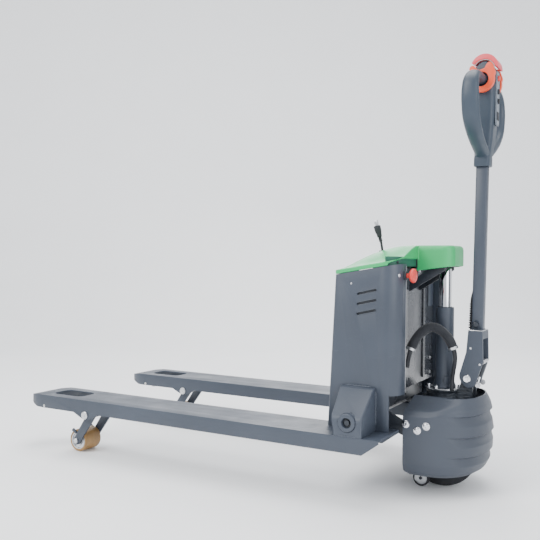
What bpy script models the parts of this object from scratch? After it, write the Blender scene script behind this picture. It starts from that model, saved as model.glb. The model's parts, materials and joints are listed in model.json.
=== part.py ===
"""Electric walkie pallet truck: lifting fork frame, steered drive head, tiller and load wheels.

Metres, +Z up. The origin is on the floor, under the middle of the truck. The forks point
to -X, the tiller stands at the +X end, and the forks are modelled raised.

Every object hangs from the empty "heel_datum", and the sizes below are measured from it:
x = 0 is a hand's breadth behind the body's front wall, y = 0 is the truck's centre line.
"""

import math

import bmesh
import bpy
from mathutils import Matrix, Vector

# Overall
FORK_REACH = 1.150  # datum to fork tip
REAR_REACH = 0.359  # datum to the rearmost point, the horn button
HEEL_X = (FORK_REACH - REAR_REACH) / 2
LIFT = 0.110
GAP = 0.0003  # between pieces that touch

# Forks
FORK_TOP = 0.185
FORK_WIDTH = 0.155
FORK_Y = 0.265  # centre line of each fork
SHEET = 0.004
SKIRT_LOW = 0.142
NOSE_START = -1.060
WINDOW_X = -0.996
WINDOW_LENGTH, WINDOW_WIDTH = 0.130, 0.080

# Load wheel linkage
BRACKET_X, BRACKET_Z = -0.875, 0.136
ARM = 0.1212
ARM_ANGLE = math.radians(234.7)  # from the pivot down to the roller's axle, forks raised
ROLLER_RADIUS, ROLLER_WIDTH = 0.037, 0.072
CHEEK_IN, CHEEK_OUT = 0.038, 0.044
CRANK = 0.0297  # pivot to the push rod's pin
CRANK_ANGLE = math.radians(119.95)
ENTRY_X, ENTRY_Z, ENTRY_RADIUS = -1.062, 0.1475, 0.020

# Rocker
SHAFT_X, SHAFT_Z, SHAFT_RADIUS = 0.052, 0.222, 0.016
ROCKER_ARM, ROCKER_LEVER = 0.141, 0.038
ROCKER_TILT = math.radians(22.96)  # of the arm, below level with the forks raised
ARM_Y = 0.156
CHASSIS_PIN_X = SHAFT_X + ROCKER_ARM * math.cos(ROCKER_TILT)
CHASSIS_PIN_Z = SHAFT_Z - LIFT / 2
PIN_RADIUS = 0.005
SLOT_PLAY = 0.0006

# Body
BODY_HALF = 0.242
BODY_LOW = FORK_TOP + GAP
FRONT_X, FRONT_SLANT = -0.033, 0.047
POST_X, POST_INNER, POST_RADIUS = 0.153, 0.175, 0.045
PANEL_X, PANEL_LOW, PANEL_TOP = 0.115, 0.280, 0.628
JOINT_X, JOINT_Z, JOINT_SLOPE = -0.028, 0.609, 0.171  # the body's top edge

# Drive head
STEER_X = 0.210
WHEEL_RADIUS, WHEEL_HALF = 0.105, 0.030
DECK_LOW, DECK_TOP = 0.232, 0.240
SLEEVE_RADIUS, BORE_RADIUS, ROD_RADIUS = 0.0260, 0.0192, 0.0180
CASTING_TOP, SLEEVE_TOP, ROD_TOP = 0.2825, 0.515, 0.6317
BALANCE_X, BALANCE_Y, BALANCE_RADIUS = 0.163, 0.055, 0.024

# Tiller
TILLER_X, TILLER_Z = 0.285, 0.317
TILLER_LEAN = math.radians(0.9)
TUBE_X, TUBE_LOW, TUBE_TOP = 0.3062, 0.4545, 0.9165
THROTTLE_X, THROTTLE_Z = 0.3185, 1.1535
HEAD_REAR = 0.350
BELLY_OUTER = (0.3210, 1.1910, 0.0378)  # centre and radius of the cap's upper face
BELLY_INNER = (0.3205, 1.1815, 0.0318)

# Charger cord
CORD_RADIUS = 0.0035
COIL_X, COIL_Y, COIL_Z = 0.068, -0.0985, 0.618
COIL_MEAN, COIL_HEIGHT = 0.0385, 0.050
EXIT_X, EXIT_Y = 0.038, -0.060

MATERIALS = {
    "frame_paint": ((0.105, 0.130, 0.170), 0.45, 0.0),
    "black_steel": ((0.020, 0.024, 0.030), 0.50, 0.3),
    "hood_green": ((0.060, 0.480, 0.210), 0.40, 0.0),
    "cover_plastic": ((0.100, 0.122, 0.155), 0.50, 0.0),
    "chrome_steel": ((0.620, 0.640, 0.670), 0.15, 1.0),
    "bright_steel": ((0.480, 0.490, 0.500), 0.30, 1.0),
    "roller_tan": ((0.290, 0.185, 0.085), 0.45, 0.0),
    "black_rubber": ((0.018, 0.018, 0.020), 0.70, 0.0),
    "signal_red": ((0.720, 0.070, 0.060), 0.40, 0.0),
    "throttle_orange": ((0.850, 0.190, 0.080), 0.45, 0.0),
    "panel_grey": ((0.330, 0.350, 0.380), 0.45, 0.0),
    "cell_blue": ((0.060, 0.090, 0.160), 0.50, 0.0),
    "pale_nylon": ((0.550, 0.550, 0.520), 0.50, 0.0),
}
SIDES = {"left": 1, "right": -1}  # seen from the tiller, looking along the forks


# ---------------------------------------------------------------- scene


def clear_scene():
    for obj in list(bpy.data.objects):
        bpy.data.objects.remove(obj, do_unlink=True)


def make_materials():
    for name, (colour, roughness, metallic) in MATERIALS.items():
        material = bpy.data.materials.new(name)
        material.use_nodes = True
        shader = material.node_tree.nodes["Principled BSDF"]
        shader.inputs["Base Color"].default_value = (*colour, 1.0)
        shader.inputs["Roughness"].default_value = roughness
        shader.inputs["Metallic"].default_value = metallic
        material.diffuse_color = (*colour, 1.0)


def make_datum():
    datum = bpy.data.objects.new("heel_datum", None)
    datum.location = (HEEL_X, 0, 0)
    bpy.context.collection.objects.link(datum)


def place(name, mesh, material, origin=(0, 0, 0)):
    """Hangs the piece from the datum, with its own origin at origin."""
    mesh.transform(Matrix.Translation(-Vector(origin)))
    mesh.materials.clear()
    mesh.materials.append(bpy.data.materials[material])
    mesh.shade_smooth()
    mesh.set_sharp_from_angle(angle=math.radians(35))
    obj = bpy.data.objects.new(name, mesh)
    obj.location = origin
    obj.parent = bpy.data.objects["heel_datum"]
    bpy.context.collection.objects.link(obj)


# ---------------------------------------------------------------- outlines


def arc(x, y, radius, start, end, steps):
    """Points of an arc, from start to end in degrees."""
    angles = [math.radians(start + (end - start) * i / steps) for i in range(steps + 1)]
    return [(x + radius * math.cos(a), y + radius * math.sin(a)) for a in angles]


def circle(x, y, radius, steps=16):
    """A polygon round the circle, with a flat side at its foot."""
    outer = radius / math.cos(math.pi / steps)
    turn = 180 / steps
    return arc(x, y, outer, turn, 360 + turn, steps)[:-1]


def rounded(points, radius, steps=4):
    """The closed outline with its corners turned into arcs. radius is one value or one each."""
    radii = radius if isinstance(radius, (list, tuple)) else [radius] * len(points)
    out = []
    for i, point in enumerate(points):
        here = Vector(point)
        before = (Vector(points[i - 1]) - here).normalized()
        after = (Vector(points[(i + 1) % len(points)]) - here).normalized()
        if radii[i] <= 0:
            out.append(tuple(here))
            continue
        half = before.angle(after) / 2
        reach = radii[i] / math.tan(half)
        centre = here + (before + after).normalized() * (radii[i] / math.sin(half))
        first = here + before * reach - centre
        last = here + after * reach - centre
        sweep = first.angle_signed(last)
        for k in range(steps + 1):
            spoke = first.copy()
            spoke.rotate(Matrix.Rotation(-sweep * k / steps, 2))
            out.append(tuple(centre + spoke))
    return out


def rectangle(low, high):
    return [(low[0], low[1]), (high[0], low[1]), (high[0], high[1]), (low[0], high[1])]


def capsule(ax, ay, ar, bx, by, br, steps=6):
    """The outline of two circles and the straight edges that touch both."""
    gap = math.hypot(bx - ax, by - ay)
    heading = math.degrees(math.atan2(by - ay, bx - ax))
    lean = math.degrees(math.acos((ar - br) / gap))
    tail = arc(ax, ay, ar, heading + lean, heading + 360 - lean, steps)
    return tail + arc(bx, by, br, heading - lean, heading + lean, steps)


# ---------------------------------------------------------------- meshes


def finished(bm, name="piece"):
    bmesh.ops.recalc_face_normals(bm, faces=bm.faces)
    mesh = bpy.data.meshes.new(name)
    bm.to_mesh(mesh)
    bm.free()
    return mesh


def lofted(loops):
    """A closed solid through loops of equal length, in order."""
    bm = bmesh.new()
    rings = [[bm.verts.new(point) for point in loop] for loop in loops]
    count = len(rings[0])
    for low, high in zip(rings, rings[1:]):
        for i in range(count):
            j = (i + 1) % count
            bm.faces.new((low[i], low[j], high[j], high[i]))
    bm.faces.new(rings[0])
    bm.faces.new(rings[-1])
    return finished(bm)


def prism(outline, axis, low, high):
    """The outline extruded along an axis. It is (x, y) for Z, (x, z) for Y and (y, z) for X."""
    lift = {
        "X": lambda u, v, w: (w, u, v),
        "Y": lambda u, v, w: (u, w, v),
        "Z": lambda u, v, w: (u, v, w),
    }[axis]
    return lofted([[lift(u, v, w) for u, v in outline] for w in (low, high)])


def box(low, high):
    return prism(rectangle(low[:2], high[:2]), "Z", low[2], high[2])


def turned(profile, axis, centre, steps=16):
    """The (radius, height) outline spun about an axis through centre, closed at the axis."""
    bm = bmesh.new()
    verts = [bm.verts.new((radius, 0, height)) for radius, height in profile]
    edges = [bm.edges.new((verts[i - 1], verts[i])) for i in range(len(verts))]
    bmesh.ops.spin(
        bm, geom=verts + edges, cent=(0, 0, 0), axis=(0, 0, 1), angle=2 * math.pi, steps=steps
    )
    bmesh.ops.remove_doubles(bm, verts=bm.verts, dist=1e-6)
    bmesh.ops.dissolve_degenerate(bm, edges=bm.edges, dist=1e-6)
    bmesh.ops.rotate(bm, verts=bm.verts, matrix=Matrix.Rotation(math.pi / steps, 3, "Z"))
    if axis == "Y":
        bmesh.ops.rotate(bm, verts=bm.verts, matrix=Matrix.Rotation(-math.pi / 2, 3, "X"))
        bmesh.ops.rotate(bm, verts=bm.verts, matrix=Matrix.Rotation(math.pi / 2, 3, "Y"))
    if axis == "X":
        bmesh.ops.rotate(bm, verts=bm.verts, matrix=Matrix.Rotation(math.pi / 2, 3, "Y"))
    bmesh.ops.translate(bm, verts=bm.verts, vec=centre)
    return finished(bm)


def rod(radius, axis, centre, low, high, steps=14):
    """A plain round bar whose flats, not its corners, lie at the radius."""
    outer = radius / math.cos(math.pi / steps)
    return turned([(0, low), (outer, low), (outer, high), (0, high)], axis, centre, steps)


def combined(first, second, operation):
    """The EXACT Boolean of two meshes, as a new mesh."""
    pair = []
    for mesh in (first, second):
        pair.append(bpy.data.objects.new("tool", mesh))
        bpy.context.collection.objects.link(pair[-1])
    modifier = pair[0].modifiers.new("combine", "BOOLEAN")
    modifier.operation = operation
    modifier.solver = "EXACT"
    modifier.object = pair[1]
    graph = bpy.context.evaluated_depsgraph_get()
    result = bpy.data.meshes.new_from_object(pair[0].evaluated_get(graph))
    for obj in pair:
        bpy.data.objects.remove(obj, do_unlink=True)
    return result


def cut(mesh, *tools):
    for tool in tools:
        mesh = combined(mesh, tool, "DIFFERENCE")
    return mesh


def joined(mesh, *others):
    for other in others:
        mesh = combined(mesh, other, "UNION")
    return mesh


def kept(mesh, other):
    return combined(mesh, other, "INTERSECT")


def band(path, thickness):
    """The open path turned into a closed outline, thickened on the left of its direction."""
    inner = []
    for i, point in enumerate(path):
        here = Vector(point)
        back = (here - Vector(path[i - 1])).normalized() if i else None
        ahead = (Vector(path[i + 1]) - here).normalized() if i < len(path) - 1 else None
        back, ahead = back or ahead, ahead or back
        normal = Vector((-back.y - ahead.y, back.x + ahead.x)).normalized()
        reach = thickness / normal.dot(Vector((-ahead.y, ahead.x)))
        inner.append(tuple(here + normal * reach))
    return list(path) + inner[::-1]


def smooth_path(points, count):
    """Evenly numbered points on a Catmull-Rom curve through the given points."""
    ends = [2 * Vector(points[0]) - Vector(points[1])]
    tail = [2 * Vector(points[-1]) - Vector(points[-2])]
    knots = ends + [Vector(p) for p in points] + tail
    out = []
    for i in range(count):
        where = (len(points) - 1) * i / (count - 1)
        k = min(int(where), len(points) - 2)
        t = where - k
        a, b, c, d = knots[k : k + 4]
        ramp = (c - a) * t + (2 * a - 5 * b + 4 * c - d) * t**2 + (3 * b - a - 3 * c + d) * t**3
        out.append(b + 0.5 * ramp)
    return out


def hose(name, points, radius, material):
    """A round tube through ready points, as a bevelled curve with filled caps."""
    curve = bpy.data.curves.new(name, "CURVE")
    curve.dimensions = "3D"
    curve.bevel_depth = radius
    curve.bevel_resolution = 2
    curve.use_fill_caps = True
    curve.materials.append(bpy.data.materials[material])
    spline = curve.splines.new("POLY")
    spline.points.add(len(points) - 1)
    for target, point in zip(spline.points, points):
        target.co = (*point, 1)
    obj = bpy.data.objects.new(name, curve)
    obj.parent = bpy.data.objects["heel_datum"]
    bpy.context.collection.objects.link(obj)


# ---------------------------------------------------------------- forks


def fork_plan(side, inset=0.0, rear=0.140):
    """The fork seen from above, with a tapering round nose."""
    half = FORK_WIDTH / 2 - inset
    tip_half = 0.034 - inset * 0.5
    nose = FORK_REACH + NOSE_START - inset
    near, far = [], []
    for i in range(9):
        turn = math.radians(90 * i / 8)
        x = NOSE_START - nose * math.sin(turn)
        y = tip_half + (half - tip_half) * math.cos(turn)
        near.append((x, side * FORK_Y - y))
        far.append((x, side * FORK_Y + y))
    return [(rear, side * FORK_Y - half)] + near + far[::-1] + [(rear, side * FORK_Y + half)]


def fork_section(drop=0.0):
    """The fork seen from the side: drooping nose, skirt and the ears at the bracket's pin."""
    top = [(0.160, FORK_TOP - drop), (-1.090, FORK_TOP - drop)]
    top += [(-1.125, FORK_TOP - 0.004 - drop), (-1.160, FORK_TOP - 0.012 - drop)]
    if drop:
        return top + [(-1.160, 0.100), (0.160, 0.100)]
    low = [(-1.160, 0.160), (-1.100, SKIRT_LOW), (-0.925, SKIRT_LOW)]
    ear = [(-0.902, 0.131), (-0.885, 0.124), (-0.860, 0.124), (-0.842, 0.130)]
    return top + low + ear + [(-0.822, SKIRT_LOW), (0.094, SKIRT_LOW), (0.140, 0.176), (0.160, 0.176)]


def make_fork(name, side):
    centre = side * FORK_Y
    shell = prism(fork_plan(side), "Z", 0.100, 0.200)
    shell = kept(shell, prism(fork_section(), "Y", centre - 0.1, centre + 0.1))
    hollow = prism(fork_plan(side, SHEET, 0.150), "Z", 0.090, 0.200)
    hollow = kept(hollow, prism(fork_section(SHEET), "Y", centre - 0.1, centre + 0.1))
    window = rectangle(
        (WINDOW_X - WINDOW_LENGTH / 2, centre - WINDOW_WIDTH / 2),
        (WINDOW_X + WINDOW_LENGTH / 2, centre + WINDOW_WIDTH / 2),
    )
    pin_hole = rod(0.0084, "Y", (BRACKET_X, centre, BRACKET_Z), -0.1, 0.1, 16)
    shell = cut(
        shell,
        hollow,
        prism(rounded(window, 0.024, 3), "Z", 0.170, 0.200),
        box((0.008, centre - 0.030, 0.170), (0.090, centre + 0.030, 0.200)),
        pin_hole,
        rod(0.0054, "Y", (ENTRY_X, centre, ENTRY_Z), -0.1, 0.1, 12),
    )
    place(name, shell, "frame_paint")


def make_entry_roller(name, side):
    """The small roller under the nose, with its pin's ends running in the skirts."""
    half, neck = 0.028, 0.005
    profile = [(0, -0.0765), (neck, -0.0765), (neck, -half), (ENTRY_RADIUS, -half)]
    profile += [(ENTRY_RADIUS, half), (neck, half), (neck, 0.0765), (0, 0.0765)]
    centre = (ENTRY_X, side * FORK_Y, ENTRY_Z)
    place(name, turned(profile, "Y", centre, 18), "pale_nylon", centre)


# ---------------------------------------------------------------- load wheels and linkage


def make_bracket_pin(name, side):
    half = FORK_WIDTH / 2 + GAP
    head = half + 0.004
    profile = [(0, -head), (0.013, -head), (0.013, -half), (0.008, -half)]
    profile += [(0.008, half), (0.013, half), (0.013, head), (0, head)]
    centre = (BRACKET_X, side * FORK_Y, BRACKET_Z)
    place(name, turned(profile, "Y", centre, 12), "bright_steel", centre)


def axle_at():
    x = BRACKET_X + ARM * math.cos(ARM_ANGLE)
    return x, BRACKET_Z + ARM * math.sin(ARM_ANGLE)


def crank_at():
    x = BRACKET_X + CRANK * math.cos(CRANK_ANGLE)
    return x, BRACKET_Z + CRANK * math.sin(CRANK_ANGLE)


def make_wheel_bracket(name, side):
    """Two cheeks on a cross tube, with the push rod's pin between them."""
    centre = side * FORK_Y
    axle, crank = axle_at(), crank_at()
    pieces = []
    for sign in (-1, 1):
        span = sorted((centre + sign * CHEEK_IN, centre + sign * CHEEK_OUT))
        arm = prism(capsule(BRACKET_X, BRACKET_Z, 0.016, *axle, 0.013), "Y", *span)
        ear = prism(capsule(BRACKET_X, BRACKET_Z, 0.0155, *crank, 0.010), "Y", *span)
        pieces.append(joined(arm, ear))
    tube = rod(0.0135, "Y", (BRACKET_X, centre, BRACKET_Z), -0.0395, 0.0395)
    pin = rod(PIN_RADIUS, "Y", (crank[0], centre, crank[1]), -0.0420, 0.0420, 16)
    bracket = joined(pieces[0], tube, pieces[1], pin)
    bracket = cut(
        bracket,
        rod(0.0083, "Y", (BRACKET_X, centre, BRACKET_Z), -0.1, 0.1),
        rod(0.0063, "Y", (axle[0], centre, axle[1]), -0.1, 0.1, 16),
    )
    place(name, bracket, "black_steel", (BRACKET_X, centre, BRACKET_Z))


def make_roller_axle(name, side):
    x, z = axle_at()
    profile = [(0, -0.0495), (0.009, -0.0495), (0.009, -0.0443), (0.006, -0.0443)]
    profile += [(0.006, 0.0443), (0.009, 0.0443), (0.009, 0.0495), (0, 0.0495)]
    centre = (x, side * FORK_Y, z)
    place(name, turned(profile, "Y", centre, 10), "bright_steel", centre)


def make_load_roller(name, side):
    x, z = axle_at()
    half, crown, bore = ROLLER_WIDTH / 2, 0.003, 0.0063
    outer = ROLLER_RADIUS / math.cos(math.pi / 24)
    profile = [(bore, -half), (outer - crown, -half), (outer, -half + crown)]
    profile += [(outer, half - crown), (outer - crown, half), (bore, half)]
    centre = (x, side * FORK_Y, ROLLER_RADIUS)
    place(name, turned(profile, "Y", centre, 24), "roller_tan", centre)


def make_push_rod(name, side):
    """A flat bar with a slotted eye at each end. The rear eye stands up to the rocker's lever."""
    centre = side * FORK_Y
    front = crank_at()
    rear_x = SHAFT_X - ROCKER_LEVER * math.sin(ROCKER_TILT)
    rear_z = SHAFT_Z - ROCKER_LEVER * math.cos(ROCKER_TILT)
    bar = box((front[0], centre - 0.009, 0.156), (rear_x + 0.002, centre + 0.009, 0.170))
    nose = prism(circle(front[0], 0.1632, 0.0125), "Y", centre - 0.009, centre + 0.009)
    lug = rounded(rectangle((rear_x - 0.0125, 0.1565), (rear_x + 0.0125, rear_z + 0.0095)), 0.008)
    lug = prism(lug, "Y", centre - 0.0088, centre + 0.0088)
    slot = PIN_RADIUS + SLOT_PLAY
    front_slot = capsule(front[0], front[1] - 0.0003, slot, front[0], front[1] + 0.0045, slot)
    rear_slot = capsule(rear_x, rear_z - 0.0035, slot, rear_x, rear_z + 0.0003, slot)
    body = joined(bar, nose, lug)
    body = cut(body, prism(front_slot, "Y", centre - 0.1, centre + 0.1))
    body = cut(body, prism(rear_slot, "Y", centre - 0.1, centre + 0.1))
    place(name, body, "black_steel")


def make_rocker():
    """The torsion shaft with a slotted arm on each side for the chassis pin, and the levers."""
    body = rod(SHAFT_RADIUS, "Y", (SHAFT_X, 0, SHAFT_Z), -0.3315, 0.3315)
    end_x = SHAFT_X + 0.118 * math.cos(ROCKER_TILT)
    end_z = SHAFT_Z - 0.118 * math.sin(ROCKER_TILT)
    slot_x = [SHAFT_X + r * math.cos(ROCKER_TILT) for r in (0.1288, 0.1418)]
    slot_z = [SHAFT_Z - r * math.sin(ROCKER_TILT) for r in (0.1288, 0.1418)]
    lever_x = SHAFT_X - ROCKER_LEVER * math.sin(ROCKER_TILT)
    lever_z = SHAFT_Z - ROCKER_LEVER * math.cos(ROCKER_TILT)
    slot = 0.0102
    for side in SIDES.values():
        span = sorted((side * (ARM_Y - 0.006), side * (ARM_Y + 0.006)))
        arm = prism(capsule(SHAFT_X, SHAFT_Z, 0.024, end_x, end_z, 0.017), "Y", *span)
        eye = prism(capsule(slot_x[0], slot_z[0], 0.0165, slot_x[1], slot_z[1], 0.0165), "Y", *span)
        hole = capsule(slot_x[0], slot_z[0], slot, slot_x[1], slot_z[1], slot)
        arm = cut(joined(arm, eye), prism(hole, "Y", span[0] - 0.01, span[1] + 0.01))
        body = joined(body, arm)
        for offset in (-0.0155, 0.0155):
            y = side * FORK_Y + offset
            shape = capsule(SHAFT_X, SHAFT_Z, 0.0215, lever_x, lever_z, 0.010)
            body = joined(body, prism(shape, "Y", y - 0.004, y + 0.004))
        pin = rod(PIN_RADIUS, "Y", (lever_x, side * FORK_Y, lever_z), -0.0170, 0.0170, 16)
        body = joined(body, pin)
    place("rocker", body, "black_steel", (SHAFT_X, 0, SHAFT_Z))


# ---------------------------------------------------------------- body


def joint_z(x):
    """Height of the seam between the body's wall and the hood."""
    return JOINT_Z + JOINT_SLOPE * (x - JOINT_X)


def make_battery_box():
    """A bent sheet: slanting front, two sides, and a rounded post at each rear corner, cut off below."""
    corner = arc(POST_X - POST_RADIUS, POST_RADIUS - BODY_HALF, POST_RADIUS, 0, -90, 6)
    front = arc(FRONT_X + 0.012, 0.012 - BODY_HALF, 0.012, 270, 180, 3)
    half = [(0.098, -POST_INNER), (POST_X, -POST_INNER)] + corner + front
    path = half + [(x, -y) for x, y in reversed(half)]
    outline = band(path[::-1], SHEET)
    loops = []
    for top in (False, True):
        loop = []
        for x, y in outline:
            z = joint_z(max(x, JOINT_X)) if top else BODY_LOW
            slant = FRONT_SLANT * (z - JOINT_Z) if x < FRONT_X + 0.018 else 0
            loop.append((x + slant, y, z))
        loops.append(loop)
    shell = lofted(loops)
    tools = [rod(0.0180, "Y", (SHAFT_X, 0, SHAFT_Z), -0.300, 0.300)]
    for row in range(3):
        low = (0.0385 - 0.0006 * row, 0.557 - 0.0275 * row)
        high = (low[0] + 0.0505, low[1] + 0.0115)
        slot = capsule(*low, 0.0032, *high, 0.0032, 4)
        tools.append(prism(slot, "Y", -0.26, 0.26))
    tools.append(rod(0.0085, "X", (POST_X, -0.190, 0.608), -0.010, 0.010, 16))
    tools.append(box((0.128, -0.260, 0.170), (0.200, 0.260, PANEL_LOW + 0.003)))
    tools.append(box((0.096, -0.205, 0.170), (0.200, 0.205, PANEL_LOW + 0.003)))
    place("battery_box", cut(shell, *tools), "frame_paint")


def make_rear_panel():
    """The recessed sheet between the posts, with its lower edge folded forward."""
    half = POST_INNER - GAP
    sheet = box((PANEL_X, -half, PANEL_LOW), (PANEL_X + SHEET, half, PANEL_TOP))
    fold = box((0.070, -0.147, PANEL_LOW - 0.046), (PANEL_X - 0.019, 0.147, PANEL_LOW))
    ledge = box((0.070, -0.147, PANEL_LOW), (PANEL_X + 0.001, 0.147, PANEL_LOW + SHEET))
    place("rear_panel", joined(sheet, ledge, fold), "frame_paint")


def make_gusset(name, side):
    """The hump that carries the rocker shaft from the body's side down to the fork's edge."""

    def wedge(inset, low, inner):
        drop = inset * 1.3
        section = [(inner, 0.304 - drop), (0.256 - inset * 0.3, 0.302 - drop)]
        section += [(0.337 - inset, 0.238 - inset * 0.4), (0.3425 - inset, 0.226), (0.3425 - inset, low)]
        section += [(inner, low)]
        front = [(0.013 - 0.18 * (z - 0.190) + inset, side * y, z) for y, z in section]
        rear = [(0.093 - inset, side * y, z) for y, z in section]
        return lofted([front, rear])

    wall = BODY_HALF + GAP
    shell = wedge(0, BODY_LOW, wall)
    hollow = wedge(SHEET, BODY_LOW - 0.01, wall - 0.01)
    hole = rod(0.0250, "Y", (SHAFT_X, side * 0.333, SHAFT_Z), -0.020, 0.020)
    place(name, cut(shell, hollow, hole), "frame_paint")


def make_shaft_boss(name, side):
    """The bearing boss that closes the hump and carries the end of the rocker's shaft."""
    bore = SHAFT_RADIUS + 0.0012
    profile = [(bore, 0.3195), (0.0245, 0.3195), (0.0245, 0.3440), (0.0220, 0.3465)]
    profile += [(0.0110, 0.3465), (0.0100, 0.3430), (0, 0.3430), (0, 0.3330), (bore, 0.3330)]
    mesh = turned(profile, "Y", (0, 0, 0), 16)
    if side < 0:
        mesh.transform(Matrix.Rotation(math.pi, 4, "Z"))
    mesh.transform(Matrix.Translation((SHAFT_X, 0, SHAFT_Z)))
    place(name, mesh, "black_steel")


def ridge_z(x):
    """Height of the hood along the truck's centre line."""
    along = min(max((x - FRONT_X) / 0.163, 0), 1)
    return 0.642 + 0.051 * math.sin(along * math.pi / 2) ** 0.8


def hood_outline(inset):
    """The wide part of the hood seen from above."""
    half = BODY_HALF + 0.001 - inset
    front, rear = FRONT_X - 0.001 + inset, 0.150 - inset
    corners = [(front, -half), (rear, -half), (rear, half), (front, half)]
    return rounded(corners, [0.014, 0.044 - inset, 0.044 - inset, 0.014], 5)


def hood_dome(inset):
    """The wide part as a solid, crowned from side to side."""
    stations = [0.000, 0.22, 0.36, 0.50, 0.64, 0.78, 0.90, 1.00]
    fractions = [-s for s in reversed(stations[1:])] + stations
    rows = []
    for step in range(9):
        x = FRONT_X - 0.02 + 0.22 * step / 8
        edge = joint_z(max(x, JOINT_X)) + 0.0125
        row = []
        for f in fractions:
            y = f * (BODY_HALF + 0.02)
            across = min(max((abs(y) - 0.060) / 0.182, 0), 1)
            rise = math.cos(across * math.pi / 2) ** 2
            row.append((x, y, edge + (ridge_z(x) - edge) * rise - inset))
        rows.append(row)
    bm = bmesh.new()
    tops = [[bm.verts.new(point) for point in row] for row in rows]
    lows = [[bm.verts.new((x, y, 0.560)) for x, y, z in row] for row in rows]
    for grid in (tops, lows):
        for a, b in zip(grid, grid[1:]):
            for i in range(len(a) - 1):
                bm.faces.new((a[i], a[i + 1], b[i + 1], b[i]))
    for top, low in ((tops[0], lows[0]), (tops[-1], lows[-1])):
        for i in range(len(top) - 1):
            bm.faces.new((top[i], top[i + 1], low[i + 1], low[i]))
    for end in (0, -1):
        for i in range(len(tops) - 1):
            bm.faces.new((tops[i][end], tops[i + 1][end], lows[i + 1][end], lows[i][end]))
    return kept(finished(bm), prism(hood_outline(inset), "Z", 0.570, 0.750))


def tongue_solid(inset):
    """The narrow rear part that caps the lift cylinder's rod."""
    half, rear = 0.070 - inset, 0.2505 - inset
    front = 0.120 + inset
    corners = [(front, -half), (rear, -half), (rear, half), (front, half)]
    plan = rounded(corners, [0.004, 0.045, 0.045, 0.004], 5)
    loops = []
    for z, shrink in ((0.570, 0), (0.6845 - inset, 0), (0.6905 - inset, 0.002), (0.6937 - inset, 0.008)):
        scale_x, scale_y = 1 - shrink / 0.07, 1 - shrink / half
        middle = (front + rear) / 2
        loops.append([(middle + (x - middle) * scale_x, y * scale_y, z) for x, y in plan])
    return lofted(loops)


def make_hood():
    """A thin moulded lid, open below, with a hole for the charger's cord."""
    wall = 0.0035
    outer = joined(hood_dome(0), tongue_solid(0))
    inner = joined(hood_dome(wall), tongue_solid(wall))
    lid = cut(outer, inner)
    step = 0.0008
    seam = [(-0.100, JOINT_Z + step), (JOINT_X, JOINT_Z + step)]
    seam += [(0.122, joint_z(0.122) + step), (0.1225, 0.641), (0.170, 0.664)]
    lid = cut(lid, prism(seam + [(0.170, 0.500), (-0.100, 0.500)], "Y", -0.300, -0.0702))
    lid = cut(lid, prism(seam + [(0.170, 0.500), (-0.100, 0.500)], "Y", 0.0702, 0.300))
    under = [(-0.100, 0.648), (0.1235, 0.648), (0.1235, 0.617), (0.300, 0.641), (0.300, 0.5), (-0.1, 0.5)]
    lid = cut(lid, prism(under, "Y", -0.0702, 0.0702))
    lid = cut(lid, rod(0.0075, "Z", (EXIT_X, EXIT_Y, 0.690), -0.040, 0.040, 16))
    place("hood", lid, "hood_green")


def make_lift_bracket():
    """The plate on the rod's head, held out from the rear panel by two slanting struts."""
    front = PANEL_X + SHEET + GAP
    body = box((front, -0.050, ROD_TOP + GAP), (0.228, 0.050, 0.640))
    for side in SIDES.values():
        span = sorted((side * 0.042, side * 0.050))
        strut = [(front, 0.560), (front, 0.588), (0.190, ROD_TOP + 0.002), (0.222, ROD_TOP + 0.002)]
        strut += [(0.222, 0.622)]
        body = joined(body, prism(strut, "Y", *span))
    place("lift_bracket", body, "black_steel")


def make_piston_rod():
    middle = (STEER_X, 0, 0)
    place("piston_rod", rod(ROD_RADIUS, "Z", middle, 0.433, ROD_TOP), "chrome_steel", middle)


def make_inner_units():
    """The battery, its charger and the motor controller, all inside the body."""
    place("battery", box((-0.030, -0.205, 0.300), (0.098, 0.205, 0.560)), "cell_blue")
    place("charger", box((0.010, 0.000, 0.562), (0.100, 0.110, 0.610)), "black_steel")
    place("controller", box((0.000, 0.125, 0.562), (0.092, 0.215, 0.612)), "bright_steel")


def make_estop():
    """A mushroom button on the rear face of the right-hand post, and its collar."""
    centre = (POST_X, -0.190, 0.608)
    collar = turned([(0, -0.012), (0.0080, -0.012), (0.0080, GAP), (0.0125, GAP), (0.0125, 0.007),
                     (0.0065, 0.007), (0.0065, -0.004), (0, -0.004)], "X", centre, 14)
    place("estop_collar", collar, "black_steel", centre)
    knob = [(0, 0.002), (0.0060, 0.002), (0.0060, 0.0113), (0.0100, 0.0150), (0.0150, 0.0182)]
    knob += [(0.0190, 0.0215), (0.0195, 0.0255), (0.0165, 0.0300), (0.0090, 0.0325), (0, 0.0330)]
    place("estop_button", turned(knob, "X", centre, 16), "signal_red", centre)


# ---------------------------------------------------------------- charger cord


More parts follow.
